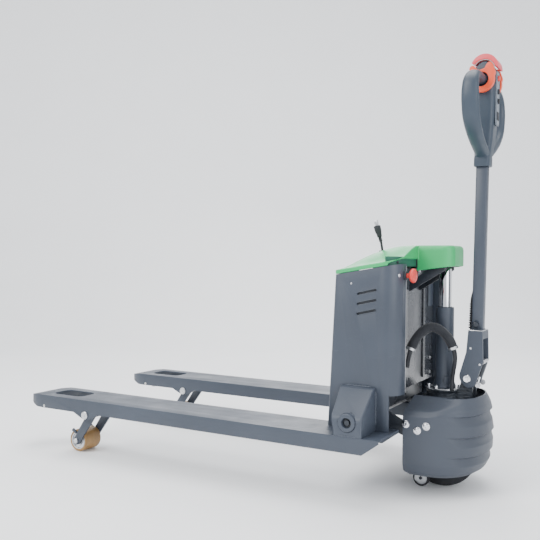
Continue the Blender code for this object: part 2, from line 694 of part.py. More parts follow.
def make_cord():
    """The charger's lead: gland, a coil stowed under the hood, and the plug outside."""
    gland = [(0, 0), (0.0045, 0), (0.0065, 0.020), (0.0065, 0.0297), (0, 0.0297)]
    start_x = COIL_X - COIL_MEAN
    low_z = COIL_Z - COIL_HEIGHT / 2 + CORD_RADIUS + 0.0005
    place("cord_gland", turned(gland, "Y", (start_x, -0.030, low_z), 12), "black_rubber")
    lead = [(start_x, -0.0303, low_z), (start_x, -0.045, low_z), (start_x, -0.060, low_z)]
    hose("cord_inner", lead + [(start_x, -0.0725, low_z)], CORD_RADIUS, "black_rubber")
    half = COIL_HEIGHT / 2
    ring = [(COIL_MEAN - CORD_RADIUS, -half), (COIL_MEAN + CORD_RADIUS, -half)]
    ring += [(COIL_MEAN + CORD_RADIUS, half), (COIL_MEAN - CORD_RADIUS, half)]
    place("cord_coil", turned(ring, "Z", (COIL_X, COIL_Y, COIL_Z), 24), "black_rubber")
    top_z = COIL_Z + half - CORD_RADIUS
    lead = [(COIL_X - 0.0205, EXIT_Y, top_z + 0.0070), (COIL_X - 0.0260, EXIT_Y, top_z + 0.0135)]
    lead += [(EXIT_X + 0.0003, EXIT_Y, top_z + 0.026), (EXIT_X - 0.0005, EXIT_Y, 0.678)]
    lead += [(EXIT_X - 0.0020, EXIT_Y, 0.690), (EXIT_X - 0.0050, EXIT_Y, 0.7050)]
    hose("cord_outer", smooth_path(lead, 10), CORD_RADIUS, "black_rubber")
    make_plug(Vector((EXIT_X - 0.0050, EXIT_Y, 0.7053)), math.radians(-16))


def make_plug(foot, lean):
    """A moulded plug with two flat blades and a round earth pin, leaning with the cord."""
    sections = [(0.000, 0.0046, 0.0046), (0.012, 0.0055, 0.0055), (0.014, 0.0085, 0.0070)]
    sections += [(0.030, 0.0125, 0.0090), (0.044, 0.0135, 0.0100), (0.048, 0.0120, 0.0090)]
    loops = []
    for z, half_y, half_x in sections:
        outline = [(half_x * math.cos(a), half_y * math.sin(a), z) for a in
                   (math.radians(15 + 30 * i) for i in range(12))]
        loops.append(outline)
    body = lofted(loops)
    for y in (-0.0063, 0.0063):
        body = joined(body, box((-0.0034, y - 0.0008, 0.040), (0.0030, y + 0.0008, 0.0640)))
    body = joined(body, rod(0.0024, "Z", (0.0050, 0, 0), 0.040, 0.0660, 10))
    body.transform(Matrix.Translation(foot) @ Matrix.Rotation(lean, 4, "Y"))
    place("charger_plug", body, "black_rubber", tuple(foot))


# ---------------------------------------------------------------- chassis


def make_chassis_frame():
    """The deck that turns on the casting, with a side plate and a rocker pin on each side."""
    deck = rounded(rectangle((0.152, -0.140), (0.300, 0.140)), [0.004, 0.080, 0.080, 0.004])
    frame = prism(deck, "Z", DECK_LOW, DECK_TOP)
    for side in SIDES.values():
        span = sorted((side * 0.130, side * 0.140))
        plate = [(0.152, DECK_TOP), (0.152, 0.142), (0.206, 0.142), (0.232, 0.190), (0.232, DECK_TOP)]
        frame = joined(frame, prism(plate, "Y", *span))
        ends = sorted((side * 0.135, side * 0.164))
        pin = rod(0.0085, "Y", (CHASSIS_PIN_X, 0, CHASSIS_PIN_Z), *ends, 16)
        boss = rod(0.0085, "Y", (0.212, 0, 0.199), *ends, 16)
        frame = joined(frame, pin, boss)
    frame = cut(frame, rod(0.0555, "Z", (STEER_X, 0, 0), 0.200, 0.300, 24))
    place("chassis_frame", frame, "black_steel")


COVER_LEVELS = (  # height, front edge, half width, rear end
    (0.056, 0.150, 0.150, 0.312),
    (0.066, 0.146, 0.165, 0.327),
    (0.090, 0.145, 0.1705, 0.339),
    (0.125, 0.145, 0.1710, 0.343),
    (0.160, 0.145, 0.1710, 0.346),
    (0.195, 0.145, 0.1710, 0.342),
    (0.222, 0.145, 0.1705, 0.336),
    (0.236, 0.147, 0.1600, 0.331),
    (0.254, 0.152, 0.1300, 0.323),
    (0.270, 0.157, 0.1080, 0.314),
)


def make_drive_cover():
    """A moulded shell round the drive head, open below, in front and over the casting."""
    rows = []
    for z, front, half, rear in COVER_LEVELS:
        start = front + 0.050
        row = [(front, -half), (front + 0.018, -half), (front + 0.035, -half)]
        for i in range(17):
            turn = math.radians(-90 + 180 * i / 16)
            x = start + (rear - start) * math.cos(turn) ** 0.85 if abs(turn) < 1.57 else start
            y = half * math.copysign(abs(math.sin(turn)) ** 0.90, turn)
            row.append((x, y))
        row += [(front + 0.035, half), (front + 0.018, half), (front, half)]
        rows.append([(x, y, z) for x, y in band(row, 0.0035)])
    place("drive_cover", lofted(rows), "cover_plastic")


# ---------------------------------------------------------------- drive head


def make_steering_casting():
    """The turning centre: flange, thrust rim on the deck, spigot, and the tiller's two lugs."""
    top = CASTING_TOP - GAP
    spigot = DECK_LOW - 0.0060
    profile = [(0, spigot), (0.0540, spigot), (0.0540, DECK_TOP + GAP), (0.0640, DECK_TOP + GAP)]
    profile += [(0.0640, 0.2560), (0.0500, 0.2580), (0.0500, 0.2740), (0.0530, 0.2760)]
    profile += [(0.0530, top), (0, top)]
    body = turned(profile, "Z", (STEER_X, 0, 0), 24)
    for side in SIDES.values():
        span = sorted((side * 0.017, side * 0.0275))
        lug = [(0.2450, 0.2460), (0.2950, 0.2460), (0.3010, TILLER_Z), (0.2800, 0.3320), (0.2690, 0.3200)]
        lug += [(0.2620, 0.2860), (0.2450, 0.2820)]
        body = joined(body, prism(lug, "Y", *span))
    body = cut(body, rod(0.0085, "Y", (TILLER_X, 0, TILLER_Z), -0.1, 0.1, 16))
    place("steering_casting", body, "black_steel", (STEER_X, 0, 0))


def make_cylinder():
    low = CASTING_TOP
    profile = [(0, low), (0.0330, low), (0.0290, 0.300), (SLEEVE_RADIUS, 0.306)]
    profile += [(SLEEVE_RADIUS, SLEEVE_TOP), (BORE_RADIUS, SLEEVE_TOP), (BORE_RADIUS, 0.320), (0, 0.320)]
    place("lift_cylinder", turned(profile, "Z", (STEER_X, 0, 0), 20), "frame_paint", (STEER_X, 0, 0))


def make_drive_fork():
    """The inverted fork that holds the hub motor's axle, with the arms of the balance rollers."""
    top = DECK_LOW - 0.0060 - GAP
    body = rod(0.0620, "Z", (STEER_X, 0, 0), 0.2140, top, 24)
    for side in SIDES.values():
        span = sorted((side * (WHEEL_HALF + 0.0025), side * (WHEEL_HALF + 0.0095)))
        leg = prism(capsule(STEER_X, WHEEL_RADIUS, 0.022, STEER_X, 0.205, 0.034), "Y", *span)
        leg = kept(leg, box((0.0, -0.1, 0.0), (0.4, 0.1, 0.2160)))
        arm = capsule(STEER_X, 0.120, 0.016, BALANCE_X, BALANCE_RADIUS, 0.010)
        leg = joined(leg, prism(arm, "Y", *span))
        pin_span = sorted((side * 0.036, side * (BALANCE_Y + 0.012)))
        pin = rod(0.0045, "Y", (BALANCE_X, 0, BALANCE_RADIUS), *pin_span, 12)
        body = joined(body, leg, pin)
    body = cut(body, rod(0.0103, "Y", (STEER_X, 0, WHEEL_RADIUS), -0.1, 0.1))
    place("drive_fork", body, "black_steel", (STEER_X, 0, 0))


def make_drive_wheel():
    centre = (STEER_X, 0, WHEEL_RADIUS)
    profile = [(0, -0.0390), (0.0100, -0.0390), (0.0100, -0.0300), (0.0600, -0.0280), (0.0780, -0.0280)]
    profile += [(0.0780, 0.0280), (0.0600, 0.0280), (0.0100, 0.0300), (0.0100, 0.0390), (0, 0.0390)]
    place("hub_motor", turned(profile, "Y", centre, 24), "bright_steel", centre)
    outer = WHEEL_RADIUS / math.cos(math.pi / 32)
    inner = 0.0786
    half = WHEEL_HALF
    tyre = [(inner, -half + 0.002), (0.098, -half), (outer, -half + 0.006)]
    tyre += [(outer, half - 0.006), (0.098, half), (inner, half - 0.002)]
    place("drive_tyre", turned(tyre, "Y", centre, 32), "black_rubber", centre)


def make_balance_roller(name, side):
    centre = (BALANCE_X, side * BALANCE_Y, BALANCE_RADIUS)
    outer = BALANCE_RADIUS / math.cos(math.pi / 20)
    profile = [(0.0048, -0.009), (0.0175, -0.009), (0.0185, -0.0075), (outer - 0.002, -0.009)]
    profile += [(outer, -0.007), (outer, 0.007), (outer - 0.002, 0.009), (0.0185, 0.0075)]
    profile += [(0.0175, 0.009), (0.0048, 0.009)]
    place(name, turned(profile, "Y", centre, 20), "black_rubber", centre)


HARNESS = (
    (0.1350, -0.112, 0.350),
    (0.1365, -0.104, 0.376),
    (0.1430, -0.096, 0.404),
    (0.1620, -0.084, 0.440),
    (0.1900, -0.072, 0.4600),
    (0.2170, -0.064, 0.4520),
    (0.2400, -0.056, 0.4260),
    (0.2510, -0.050, 0.3960),
    (0.2530, -0.044, 0.3700),
    (0.2480, -0.038, 0.3450),
)
HARNESS_RADIUS = 0.0138


def make_harness():
    """The sleeved cables that loop from the body to the drive head, in two halves."""
    route = smooth_path(HARNESS, 28)
    middle = 13
    heading = (route[middle + 1] - route[middle - 1]).normalized()
    ends = [route[middle] + heading * reach for reach in (-0.0050, -GAP, GAP, 0.0050)]
    hose("harness_body_half", route[:middle] + ends[:2], HARNESS_RADIUS, "black_rubber")
    hose("harness_head_half", ends[2:] + route[middle + 1 :], HARNESS_RADIUS, "black_rubber")


# ---------------------------------------------------------------- tiller


def leaning(x, z):
    """Where a point of the upright tiller lies once the tiller leans."""
    return x + (z - TUBE_LOW) * math.tan(TILLER_LEAN)


def make_tiller_base():
    """The folded steel base: two cheeks outside the casting's lugs, closed round the tube."""
    outline = [(0.2870, 0.4540), (0.3265, 0.4540), (0.3290, 0.3660), (0.3060, 0.2960), (0.2840, 0.2890)]
    outline += [(0.2600, 0.3170), (0.2820, 0.3920)]
    radii = [0.003, 0.003, 0.012, 0.012, 0.016, 0.028, 0.030]
    base = prism(rounded(outline, radii, 4), "Y", -0.036, 0.036)
    base = cut(base, box((0.200, -0.0280, 0.200), (0.400, 0.0280, 0.4300)))
    base = cut(base, rod(0.0085, "Y", (TILLER_X, 0, TILLER_Z), -0.1, 0.1, 16))
    place("tiller_base", base, "frame_paint", (TILLER_X, 0, TILLER_Z))
    profile = [(0, -0.0400), (0.0110, -0.0400), (0.0110, -0.0363), (0.0080, -0.0363)]
    profile += [(0.0080, 0.0363), (0.0110, 0.0363), (0.0110, 0.0400), (0, 0.0400)]
    centre = (TILLER_X, 0, TILLER_Z)
    place("tiller_pin", turned(profile, "Y", centre, 16), "bright_steel", centre)


def make_tiller_tube():
    half_x, half_y = 0.0160, 0.0150
    plan = rounded(rectangle((-half_x, -half_y), (half_x, half_y)), 0.004, 2)
    loops = [[(leaning(TUBE_X, z) + x, y, z) for x, y in plan] for z in (TUBE_LOW, TUBE_TOP)]
    place("tiller_tube", lofted(loops), "frame_paint", (TILLER_X, 0, TILLER_Z))


HEAD_LEVELS = (  # height, front, rear, half width
    (0.9170, 0.2950, 0.3350, 0.0220),
    (0.9450, 0.2930, 0.3370, 0.0240),
    (0.9900, 0.2900, 0.3440, 0.0280),
    (1.0500, 0.2870, 0.3490, 0.0330),
    (1.1100, 0.2850, 0.3500, 0.0360),
    (1.1600, 0.2840, 0.3500, 0.0370),
    (1.1830, 0.2870, 0.3500, 0.0362),
    (1.1890, 0.2900, 0.3430, 0.0355),
    (1.1960, 0.2975, 0.3420, 0.0340),
    (1.2050, 0.3065, 0.3340, 0.0310),
    (1.2080, 0.3160, 0.3260, 0.0270),
)
LOOP_PATH = (  # outwards, height, depth of the grip
    (0.018, 0.952, 0.0200),
    (0.045, 0.964, 0.0205),
    (0.085, 0.984, 0.0215),
    (0.118, 1.006, 0.0225),
    (0.145, 1.036, 0.0235),
    (0.157, 1.072, 0.0235),
    (0.158, 1.100, 0.0232),
    (0.152, 1.128, 0.0215),
    (0.132, 1.147, 0.0190),
    (0.100, 1.1540, 0.0175),
    (0.070, 1.1535, 0.0170),
    (0.030, 1.1530, 0.0160),
)


def grip_loop(side):
    """One grip, swept from the neck out and round to the hub of the throttle lever."""
    knots = [Vector((side * y, z, depth)) for y, z, depth in LOOP_PATH]
    path = smooth_path(knots, 22)
    loops = []
    for i, here in enumerate(path):
        ahead = path[min(i + 1, len(path) - 1)] - path[max(i - 1, 0)]
        heading = Vector((ahead.x, ahead.y)).normalized()
        across = Vector((-heading.y, heading.x))
        loop = []
        for k in range(12):
            turn = math.radians(30 * k)
            spread = across * (0.0125 * math.sin(turn))
            x = THROTTLE_X - 0.003 + here.z * math.cos(turn)
            loop.append((x, here.x + spread.x, here.y + spread.y))
        loops.append(loop)
    return lofted(loops)


def make_control_head():
    """The moulded head: a waisted centre with a closed grip on each side."""
    loops = []
    for z, front, rear, half in HEAD_LEVELS:
        plan = rounded(rectangle((front, -half), (rear, half)), min(half, 0.016) * 0.8, 3)
        loops.append([(x, y, z) for x, y in plan])
    head = lofted(loops)
    for side in SIDES.values():
        head = joined(head, grip_loop(side))
    place("control_head", head, "cover_plastic", (TILLER_X, 0, TILLER_Z))


def make_throttle(name, side):
    """A butterfly lever that turns round the inner end of the grip."""
    x, z = THROTTLE_X, THROTTLE_Z
    hook = arc(x, z, 0.0355, -130, 10, 8)
    stem = [(0.3500, 1.1830), (0.3460, 1.1960), (0.3340, 1.1940), (0.3270, 1.1830)]
    lobe = [(0.3060, 1.1800), (0.2960, 1.1920), (0.2880, 1.1900), (0.2860, 1.1800), (0.2960, 1.1660)]
    paddle = prism(hook + stem + lobe, "Y", *sorted((side * 0.0385, side * 0.0520)))
    hole = rod(0.0197, "Y", (x, 0, z), *sorted((side * 0.030, side * 0.060)), 20)
    place(name, cut(paddle, hole), "throttle_orange", (x, 0, z))


def make_head_buttons():
    """The panel on the operator's side, its buttons, and the belly button over the top."""
    face, thickness, stand = HEAD_REAR + GAP, 0.0030, 0.0026
    panel = rounded(rectangle((-0.0200, 1.030), (0.0200, 1.1825)), 0.010, 4)
    panel = prism(panel, "X", face, face + thickness)
    for name, z, radius, height, material in (
        ("horn_button", 1.162, 0.0075, REAR_REACH - face - stand, "signal_red"),
        ("lift_button", 1.125, 0.0070, 0.0050, "black_rubber"),
        ("lower_button", 1.098, 0.0070, 0.0050, "black_rubber"),
    ):
        centre = (face + stand, 0, z)
        panel = cut(panel, rod(radius + 0.0004, "X", centre, -0.010, 0.010, 16))
        profile = [(0, 0), (radius, 0), (radius, height - 0.0012), (radius - 0.002, height), (0, height)]
        place(name, turned(profile, "X", centre, 16), material, centre)
    place("control_panel", panel, "panel_grey")
    cap = arc(*BELLY_OUTER, -5, 157, 14) + arc(*BELLY_INNER, 143, 14, 12)
    place("belly_button", prism(cap, "Y", -0.031, 0.031), "signal_red", (BELLY_OUTER[0], 0, BELLY_OUTER[1]))


# ---------------------------------------------------------------- the truck


def build():
    clear_scene()
    make_materials()
    make_datum()
    for label, side in SIDES.items():
        make_fork(f"fork_{label}", side)
        make_entry_roller(f"entry_roller_{label}", side)
        make_bracket_pin(f"bracket_pin_{label}", side)
        make_wheel_bracket(f"wheel_bracket_{label}", side)
        make_roller_axle(f"roller_axle_{label}", side)
        make_load_roller(f"load_roller_{label}", side)
        make_push_rod(f"push_rod_{label}", side)
        make_gusset(f"gusset_{label}", side)
        make_shaft_boss(f"shaft_boss_{label}", side)
        make_balance_roller(f"balance_roller_{label}", side)
        make_throttle(f"throttle_{label}", side)
    make_rocker()
    make_battery_box()
    make_rear_panel()
    make_hood()
    make_lift_bracket()
    make_piston_rod()
    make_inner_units()
    make_estop()
    make_cord()
    make_chassis_frame()
    make_drive_cover()
    make_steering_casting()
    make_cylinder()
    make_drive_fork()
    make_drive_wheel()
    make_harness()
    make_tiller_base()
    make_tiller_tube()
    make_control_head()
    make_head_buttons()


build()
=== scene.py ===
"""The looks of the pallet jack: its fine surfaces, materials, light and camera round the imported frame.

Metres, +Z up. Shapes are written from the same datum as the CAD: x is measured from a line just
behind the body's front wall, FORK_REACH from the fork tips. HEEL_X is that line's place in the frame.
"""

import json
import math
import random

import bmesh
import bpy
from mathutils import Matrix, Vector
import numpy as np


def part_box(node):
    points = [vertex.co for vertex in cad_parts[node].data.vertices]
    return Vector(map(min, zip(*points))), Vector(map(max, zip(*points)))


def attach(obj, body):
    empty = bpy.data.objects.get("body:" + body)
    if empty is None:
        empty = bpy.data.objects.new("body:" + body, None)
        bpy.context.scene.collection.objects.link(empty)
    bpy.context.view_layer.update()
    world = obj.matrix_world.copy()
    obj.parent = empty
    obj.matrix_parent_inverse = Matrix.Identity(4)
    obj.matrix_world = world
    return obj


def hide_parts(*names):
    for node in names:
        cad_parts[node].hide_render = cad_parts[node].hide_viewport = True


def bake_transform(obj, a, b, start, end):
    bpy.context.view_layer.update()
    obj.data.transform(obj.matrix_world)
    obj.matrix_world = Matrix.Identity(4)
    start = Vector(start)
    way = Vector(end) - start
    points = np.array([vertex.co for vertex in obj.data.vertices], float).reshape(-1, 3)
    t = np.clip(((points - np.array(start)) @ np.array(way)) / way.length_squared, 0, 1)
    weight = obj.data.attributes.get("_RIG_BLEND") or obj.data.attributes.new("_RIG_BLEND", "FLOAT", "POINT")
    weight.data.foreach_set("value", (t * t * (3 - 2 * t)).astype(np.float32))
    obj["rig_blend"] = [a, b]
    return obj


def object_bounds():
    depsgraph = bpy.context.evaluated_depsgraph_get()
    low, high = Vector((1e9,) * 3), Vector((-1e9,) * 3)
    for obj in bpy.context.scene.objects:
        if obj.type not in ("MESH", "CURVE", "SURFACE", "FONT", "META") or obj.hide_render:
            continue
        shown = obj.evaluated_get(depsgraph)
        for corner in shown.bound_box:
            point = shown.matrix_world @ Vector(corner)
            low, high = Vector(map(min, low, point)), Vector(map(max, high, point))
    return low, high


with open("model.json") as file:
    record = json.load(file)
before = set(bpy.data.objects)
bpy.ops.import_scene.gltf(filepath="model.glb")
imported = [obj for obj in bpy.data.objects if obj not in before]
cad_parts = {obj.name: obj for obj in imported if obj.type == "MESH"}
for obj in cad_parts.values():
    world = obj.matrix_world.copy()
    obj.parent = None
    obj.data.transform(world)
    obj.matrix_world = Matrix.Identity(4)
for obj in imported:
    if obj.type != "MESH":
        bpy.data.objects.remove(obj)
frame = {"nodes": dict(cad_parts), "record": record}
CAD_BOX = [list(corner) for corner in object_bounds()]

FORK_REACH = 1.150  # datum to fork tip
HEEL_X = CAD_BOX[0][0] + FORK_REACH
SIDES = {"left": 1, "right": -1}
BODIES = frame["record"]["behaviour"]["bodies"]
BODY_OF = {node: body for body, members in BODIES.items() for node in members}

STEER_X = 0.210  # the upright axis that the drive head turns on
SHAFT_X, SHAFT_Z = 0.052, 0.222  # the rocker's shaft
FORK_Y, FORK_HALF, FORK_TOP = 0.265, 0.0775, 0.185
BRACKET_X, BRACKET_Z = -0.875, 0.136  # the pin that carries a load wheel's bracket
ENTRY_X, ENTRY_Z = -1.062, 0.1475  # the small roller under a fork's nose
HUB_Z = 0.105  # the drive wheel's axle
CASTOR_X, CASTOR_Y, CASTOR_Z = 0.163, 0.055, 0.024  # the balance rollers
ESTOP_Y, ESTOP_Z = -0.190, 0.608
TILLER_X, TILLER_Z = 0.285, 0.317  # the tiller's pivot pin
THROTTLE_X, THROTTLE_Z = 0.3185, 1.1535  # the axis of the throttle and of the grips' inner ends


# ---------------------------------------------------------------- camera, stage and light


def linked(name, data):
    """A new object in the scene."""
    obj = bpy.data.objects.new(name, data)
    bpy.context.scene.collection.objects.link(obj)
    return obj


def make_camera():
    """The photograph's place: 30 degrees round from the side, at hood height, almost level."""
    azimuth, elevation, roll = math.radians(29.9), math.radians(0.7), math.radians(0.5)
    place = Vector((HEEL_X + 0.8167, -2.0809, 0.6442))
    right = Vector((math.cos(azimuth), math.sin(azimuth), 0))
    level_back = Vector((math.sin(azimuth), -math.cos(azimuth), 0))
    back = level_back * math.cos(elevation) + Vector((0, 0, math.sin(elevation)))
    up = back.cross(right)
    turned_right = right * math.cos(roll) + up * math.sin(roll)
    turned_up = up * math.cos(roll) - right * math.sin(roll)
    data = bpy.data.cameras.new("view")
    data.lens, data.sensor_width = 48.2, 36.0
    camera = linked("view", data)
    axes = Matrix((turned_right, turned_up, back)).transposed().to_4x4()
    camera.matrix_world = Matrix.Translation(place) @ axes
    bpy.context.scene.camera = camera


def add_light(name, location, target, size, power, colour=(1, 1, 1)):
    data = bpy.data.lights.new(name, "AREA")
    data.shape = "DISK"
    data.size, data.energy, data.color = size, power, colour
    lamp = linked(name, data)
    lamp.location = location
    aim = Vector(target) - Vector(location)
    lamp.rotation_euler = aim.to_track_quat("-Z", "Y").to_euler()


def make_stage():
    """A pale sweep that rises behind the truck, soft light from the sky and four lamps."""
    world = bpy.data.worlds.new("studio")
    world.use_nodes = True
    sky = world.node_tree.nodes["Background"].inputs
    sky["Color"].default_value = (0.93, 0.96, 1.0, 1)
    sky["Strength"].default_value = 1.15
    bpy.context.scene.world = world
    bm = bmesh.new()
    reach, rise, bend, wall, gap = 7.0, 4.5, 1.2, 4.0, 0.0004
    profile = [(-reach, 0.0)] + arc(wall - bend, bend, bend, -90, 0, 12) + [(wall, rise)]
    rows = [[bm.verts.new((x, y, z - gap)) for x in (-reach, reach)] for y, z in profile]
    for a, b in zip(rows, rows[1:]):
        bm.faces.new((a[0], a[1], b[1], b[0]))
    mesh = bpy.data.meshes.new("sweep")
    bm.to_mesh(mesh)
    bm.free()
    mesh.shade_smooth()
    mesh.materials.append(LOOKS["backdrop"])
    floor = linked("sweep", mesh)
    floor.rotation_euler.z = math.radians(30)
    add_light("key", (-1.6, -3.2, 3.4), (0.1, 0.0, 0.4), 2.6, 150, (1.0, 0.99, 0.97))
    add_light("fill", (3.4, -1.8, 1.8), (0.4, 0.0, 0.5), 2.2, 55, (0.96, 0.98, 1.0))
    add_light("top", (0.2, 0.4, 3.8), (0.1, 0.0, 0.3), 3.0, 110)
    add_light("back", (-1.0, 3.0, 2.4), (0.1, 0.0, 0.4), 2.0, 40)


# ---------------------------------------------------------------- materials


class Graph:
    """Short calls for building one material's nodes."""

    def __init__(self, name):
        self.material = bpy.data.materials.new(name)
        self.material.use_nodes = True
        self.nodes = self.material.node_tree.nodes
        self.links = self.material.node_tree.links
        self.shader = self.nodes["Principled BSDF"]
        self.place = self.nodes.new("ShaderNodeTexCoord").outputs["Object"]

    def link(self, source, target):
        self.links.new(source, target)

    def noise(self, scale, detail=3.0, stretch=(1, 1, 1), roughness=0.5):
        mapping = self.nodes.new("ShaderNodeMapping")
        mapping.inputs["Scale"].default_value = stretch
        self.link(self.place, mapping.inputs["Vector"])
        node = self.nodes.new("ShaderNodeTexNoise")
        node.inputs["Scale"].default_value = scale
        node.inputs["Detail"].default_value = detail
        node.inputs["Roughness"].default_value = roughness
        self.link(mapping.outputs["Vector"], node.inputs["Vector"])
        return node.outputs["Fac"]

    def wave(self, scale, direction, distortion=0.0):
        node = self.nodes.new("ShaderNodeTexWave")
        node.bands_direction = direction
        node.inputs["Scale"].default_value = scale
        node.inputs["Distortion"].default_value = distortion
        self.link(self.place, node.inputs["Vector"])
        return node.outputs["Fac"]

    def voronoi(self, scale):
        node = self.nodes.new("ShaderNodeTexVoronoi")
        node.inputs["Scale"].default_value = scale
        self.link(self.place, node.inputs["Vector"])
        return node.outputs["Distance"]

    def ramp(self, source, stops):
        node = self.nodes.new("ShaderNodeValToRGB")
        elements = node.color_ramp.elements
        while len(elements) < len(stops):
            elements.new(0.5)
        for element, (position, colour) in zip(elements, stops):
            element.position = position
            element.color = (*(colour if isinstance(colour, tuple) else (colour,) * 3), 1)
        self.link(source, node.inputs["Fac"])
        return node.outputs["Color"]

    def mix(self, factor, first, second):
        node = self.nodes.new("ShaderNodeMix")
        node.data_type = "RGBA"
        for label, value in (("Factor", factor), ("A", first), ("B", second)):
            socket = next(s for s in node.inputs if s.name == label and s.enabled)
            if isinstance(value, tuple):
                socket.default_value = (*value, 1)
            else:
                self.link(value, socket)
        return next(s for s in node.outputs if s.enabled)

    def math(self, operation, first, second):
        node = self.nodes.new("ShaderNodeMath")
        node.operation = operation
        for socket, value in zip(node.inputs, (first, second)):
            if isinstance(value, (int, float)):
                socket.default_value = value
            else:
                self.link(value, socket)
        return node.outputs["Value"]

    def bump(self, *layers):
        """Each layer is (height, strength, distance)."""
        normal = None
        for height, strength, distance in layers:
            node = self.nodes.new("ShaderNodeBump")
            node.inputs["Strength"].default_value = strength
            node.inputs["Distance"].default_value = distance
            self.link(height, node.inputs["Height"])
            if normal:
                self.link(normal, node.inputs["Normal"])
            normal = node.outputs["Normal"]
        self.link(normal, self.shader.inputs["Normal"])

    def colour(self, source):
        self.link(source, self.shader.inputs["Base Color"])

    def rough(self, source):
        self.link(source, self.shader.inputs["Roughness"])

    def fixed(self, **values):
        for name, value in values.items():
            self.shader.inputs[name.replace("_", " ")].default_value = value


def shade(colour, factor):
    return tuple(channel * factor for channel in colour)


def painted(name, colour, roughness=0.42, grime=0.25):
    """Powder coat: fine orange peel, cloudy tone, a few scuffs that show duller."""
    g = Graph(name)
    clouds = g.ramp(g.noise(5.0, 4.0), [(0.30, shade(colour, 0.90)), (0.72, shade(colour, 1.10))])
    specks = g.ramp(g.noise(420.0, 2.0), [(0.62, 0.0), (0.72, 1.0)])
    tone = g.mix(g.math("MULTIPLY", specks, 0.22), clouds, shade(colour, 1.55))
    scuffs = g.ramp(g.noise(22.0, 6.0, (1, 1, 3.5), 0.7), [(0.60, 0.0), (0.78, 1.0)])
    g.colour(g.mix(g.math("MULTIPLY", scuffs, grime), tone, shade(colour, 1.9)))
    g.rough(g.ramp(g.noise(9.0, 5.0), [(0.3, roughness - 0.08), (0.75, roughness + 0.12)]))
    g.bump((g.noise(620.0, 2.0), 0.10, 0.0006), (g.noise(45.0, 2.0), 0.05, 0.002))
    g.fixed(Specular_IOR_Level=0.45)
    return g.material


def moulded(name, colour, roughness, grain=900.0, depth=0.12, variation=0.06):
    """Moulded plastic with a fine spark-eroded grain."""
    g = Graph(name)
    low, high = shade(colour, 1 - variation), shade(colour, 1 + variation)
    clouds = g.ramp(g.noise(7.0, 3.0), [(0.30, low), (0.70, high)])
    dust = g.ramp(g.noise(160.0, 5.0, roughness=0.7), [(0.66, 0.0), (0.80, 1.0)])
    g.colour(g.mix(g.math("MULTIPLY", dust, 0.15), clouds, shade(colour, 1.5)))
    g.rough(g.ramp(g.noise(14.0, 4.0), [(0.3, roughness - 0.06), (0.7, roughness + 0.08)]))
    g.bump((g.voronoi(grain), depth, 0.0004), (g.noise(60.0, 2.0), 0.04, 0.001))
    g.fixed(Specular_IOR_Level=0.5)
    return g.material


def metal(name, colour, roughness, streaks=(1, 1, 60)):
    """Bare steel with fine streaks along the way that it was ground."""
    g = Graph(name)
    brushed = g.noise(90.0, 4.0, streaks, 0.6)
    g.colour(g.ramp(brushed, [(0.3, shade(colour, 0.82)), (0.7, colour)]))
    g.rough(g.ramp(g.noise(40.0, 4.0), [(0.3, roughness * 0.8), (0.7, roughness * 1.5)]))
    g.bump((brushed, 0.04, 0.0003))
    g.fixed(Metallic=1.0)
    return g.material


def cast(name, colour):
    """Sand-cast iron under paint: lumpy, with a ropy flow mark."""
    g = Graph(name)
    lumps = g.noise(120.0, 5.0, (1, 1, 1.6), 0.65)
    flow = g.noise(70.0, 2.0, (1, 1, 2.5), 0.4)
    g.colour(g.ramp(lumps, [(0.35, shade(colour, 0.6)), (0.68, shade(colour, 1.5))]))
    g.rough(g.ramp(lumps, [(0.3, 0.35), (0.7, 0.60)]))
    g.bump((flow, 0.55, 0.004), (lumps, 0.45, 0.0018))
    g.fixed(Specular_IOR_Level=0.5)
    return g.material


def rubber(name, colour):
    """Matt rubber, with duller patches."""
    g = Graph(name)
    g.colour(g.ramp(g.noise(30.0, 5.0), [(0.3, shade(colour, 0.75)), (0.75, shade(colour, 1.6))]))
    g.rough(g.ramp(g.noise(50.0, 3.0), [(0.3, 0.54), (0.7, 0.74)]))
    g.bump((g.noise(500.0, 3.0), 0.15, 0.0005))
    g.fixed(Specular_IOR_Level=0.35)
    return g.material


def polyurethane(name, colour):
    """Amber tread, speckled, scuffed darker where it rolls."""
    g = Graph(name)
    tone = g.ramp(g.noise(26.0, 4.0), [(0.32, shade(colour, 0.72)), (0.70, shade(colour, 1.25))])
    specks = g.ramp(g.voronoi(330.0), [(0.18, 1.0), (0.34, 0.0)])
    g.colour(g.mix(g.math("MULTIPLY", specks, 0.45), tone, shade(colour, 0.40)))
    g.rough(g.ramp(g.noise(70.0, 4.0), [(0.3, 0.34), (0.7, 0.58)]))
    g.bump((g.noise(240.0, 4.0), 0.22, 0.0006))
    g.fixed(Subsurface_Weight=0.04, Subsurface_Scale=0.004, Specular_IOR_Level=0.5)
    return g.material


def sleeve(name, colour):
    """Braided nylon hose sleeve: two crossing sets of strands."""
    g = Graph(name)
    across = g.wave(105.0, "DIAGONAL", 0.6)
    along = g.wave(120.0, "Z", 0.8)
    braid = g.math("MULTIPLY", across, along)
    g.colour(g.ramp(braid, [(0.15, shade(colour, 0.55)), (0.75, shade(colour, 1.9))]))
    g.rough(g.ramp(g.noise(60.0, 2.0), [(0.3, 0.55), (0.7, 0.80)]))
    g.bump((braid, 0.5, 0.0012))
    g.fixed(Sheen_Weight=0.25, Specular_IOR_Level=0.3)
    return g.material


def backdrop(name):
    """Plain paper, with the faintest clouding."""
    g = Graph(name)
    low, high = (0.93, 0.935, 0.945), (0.95, 0.955, 0.965)
    g.colour(g.ramp(g.noise(3.0, 3.0), [(0.3, low), (0.7, high)]))
    g.fixed(Roughness=0.85)
    return g.material


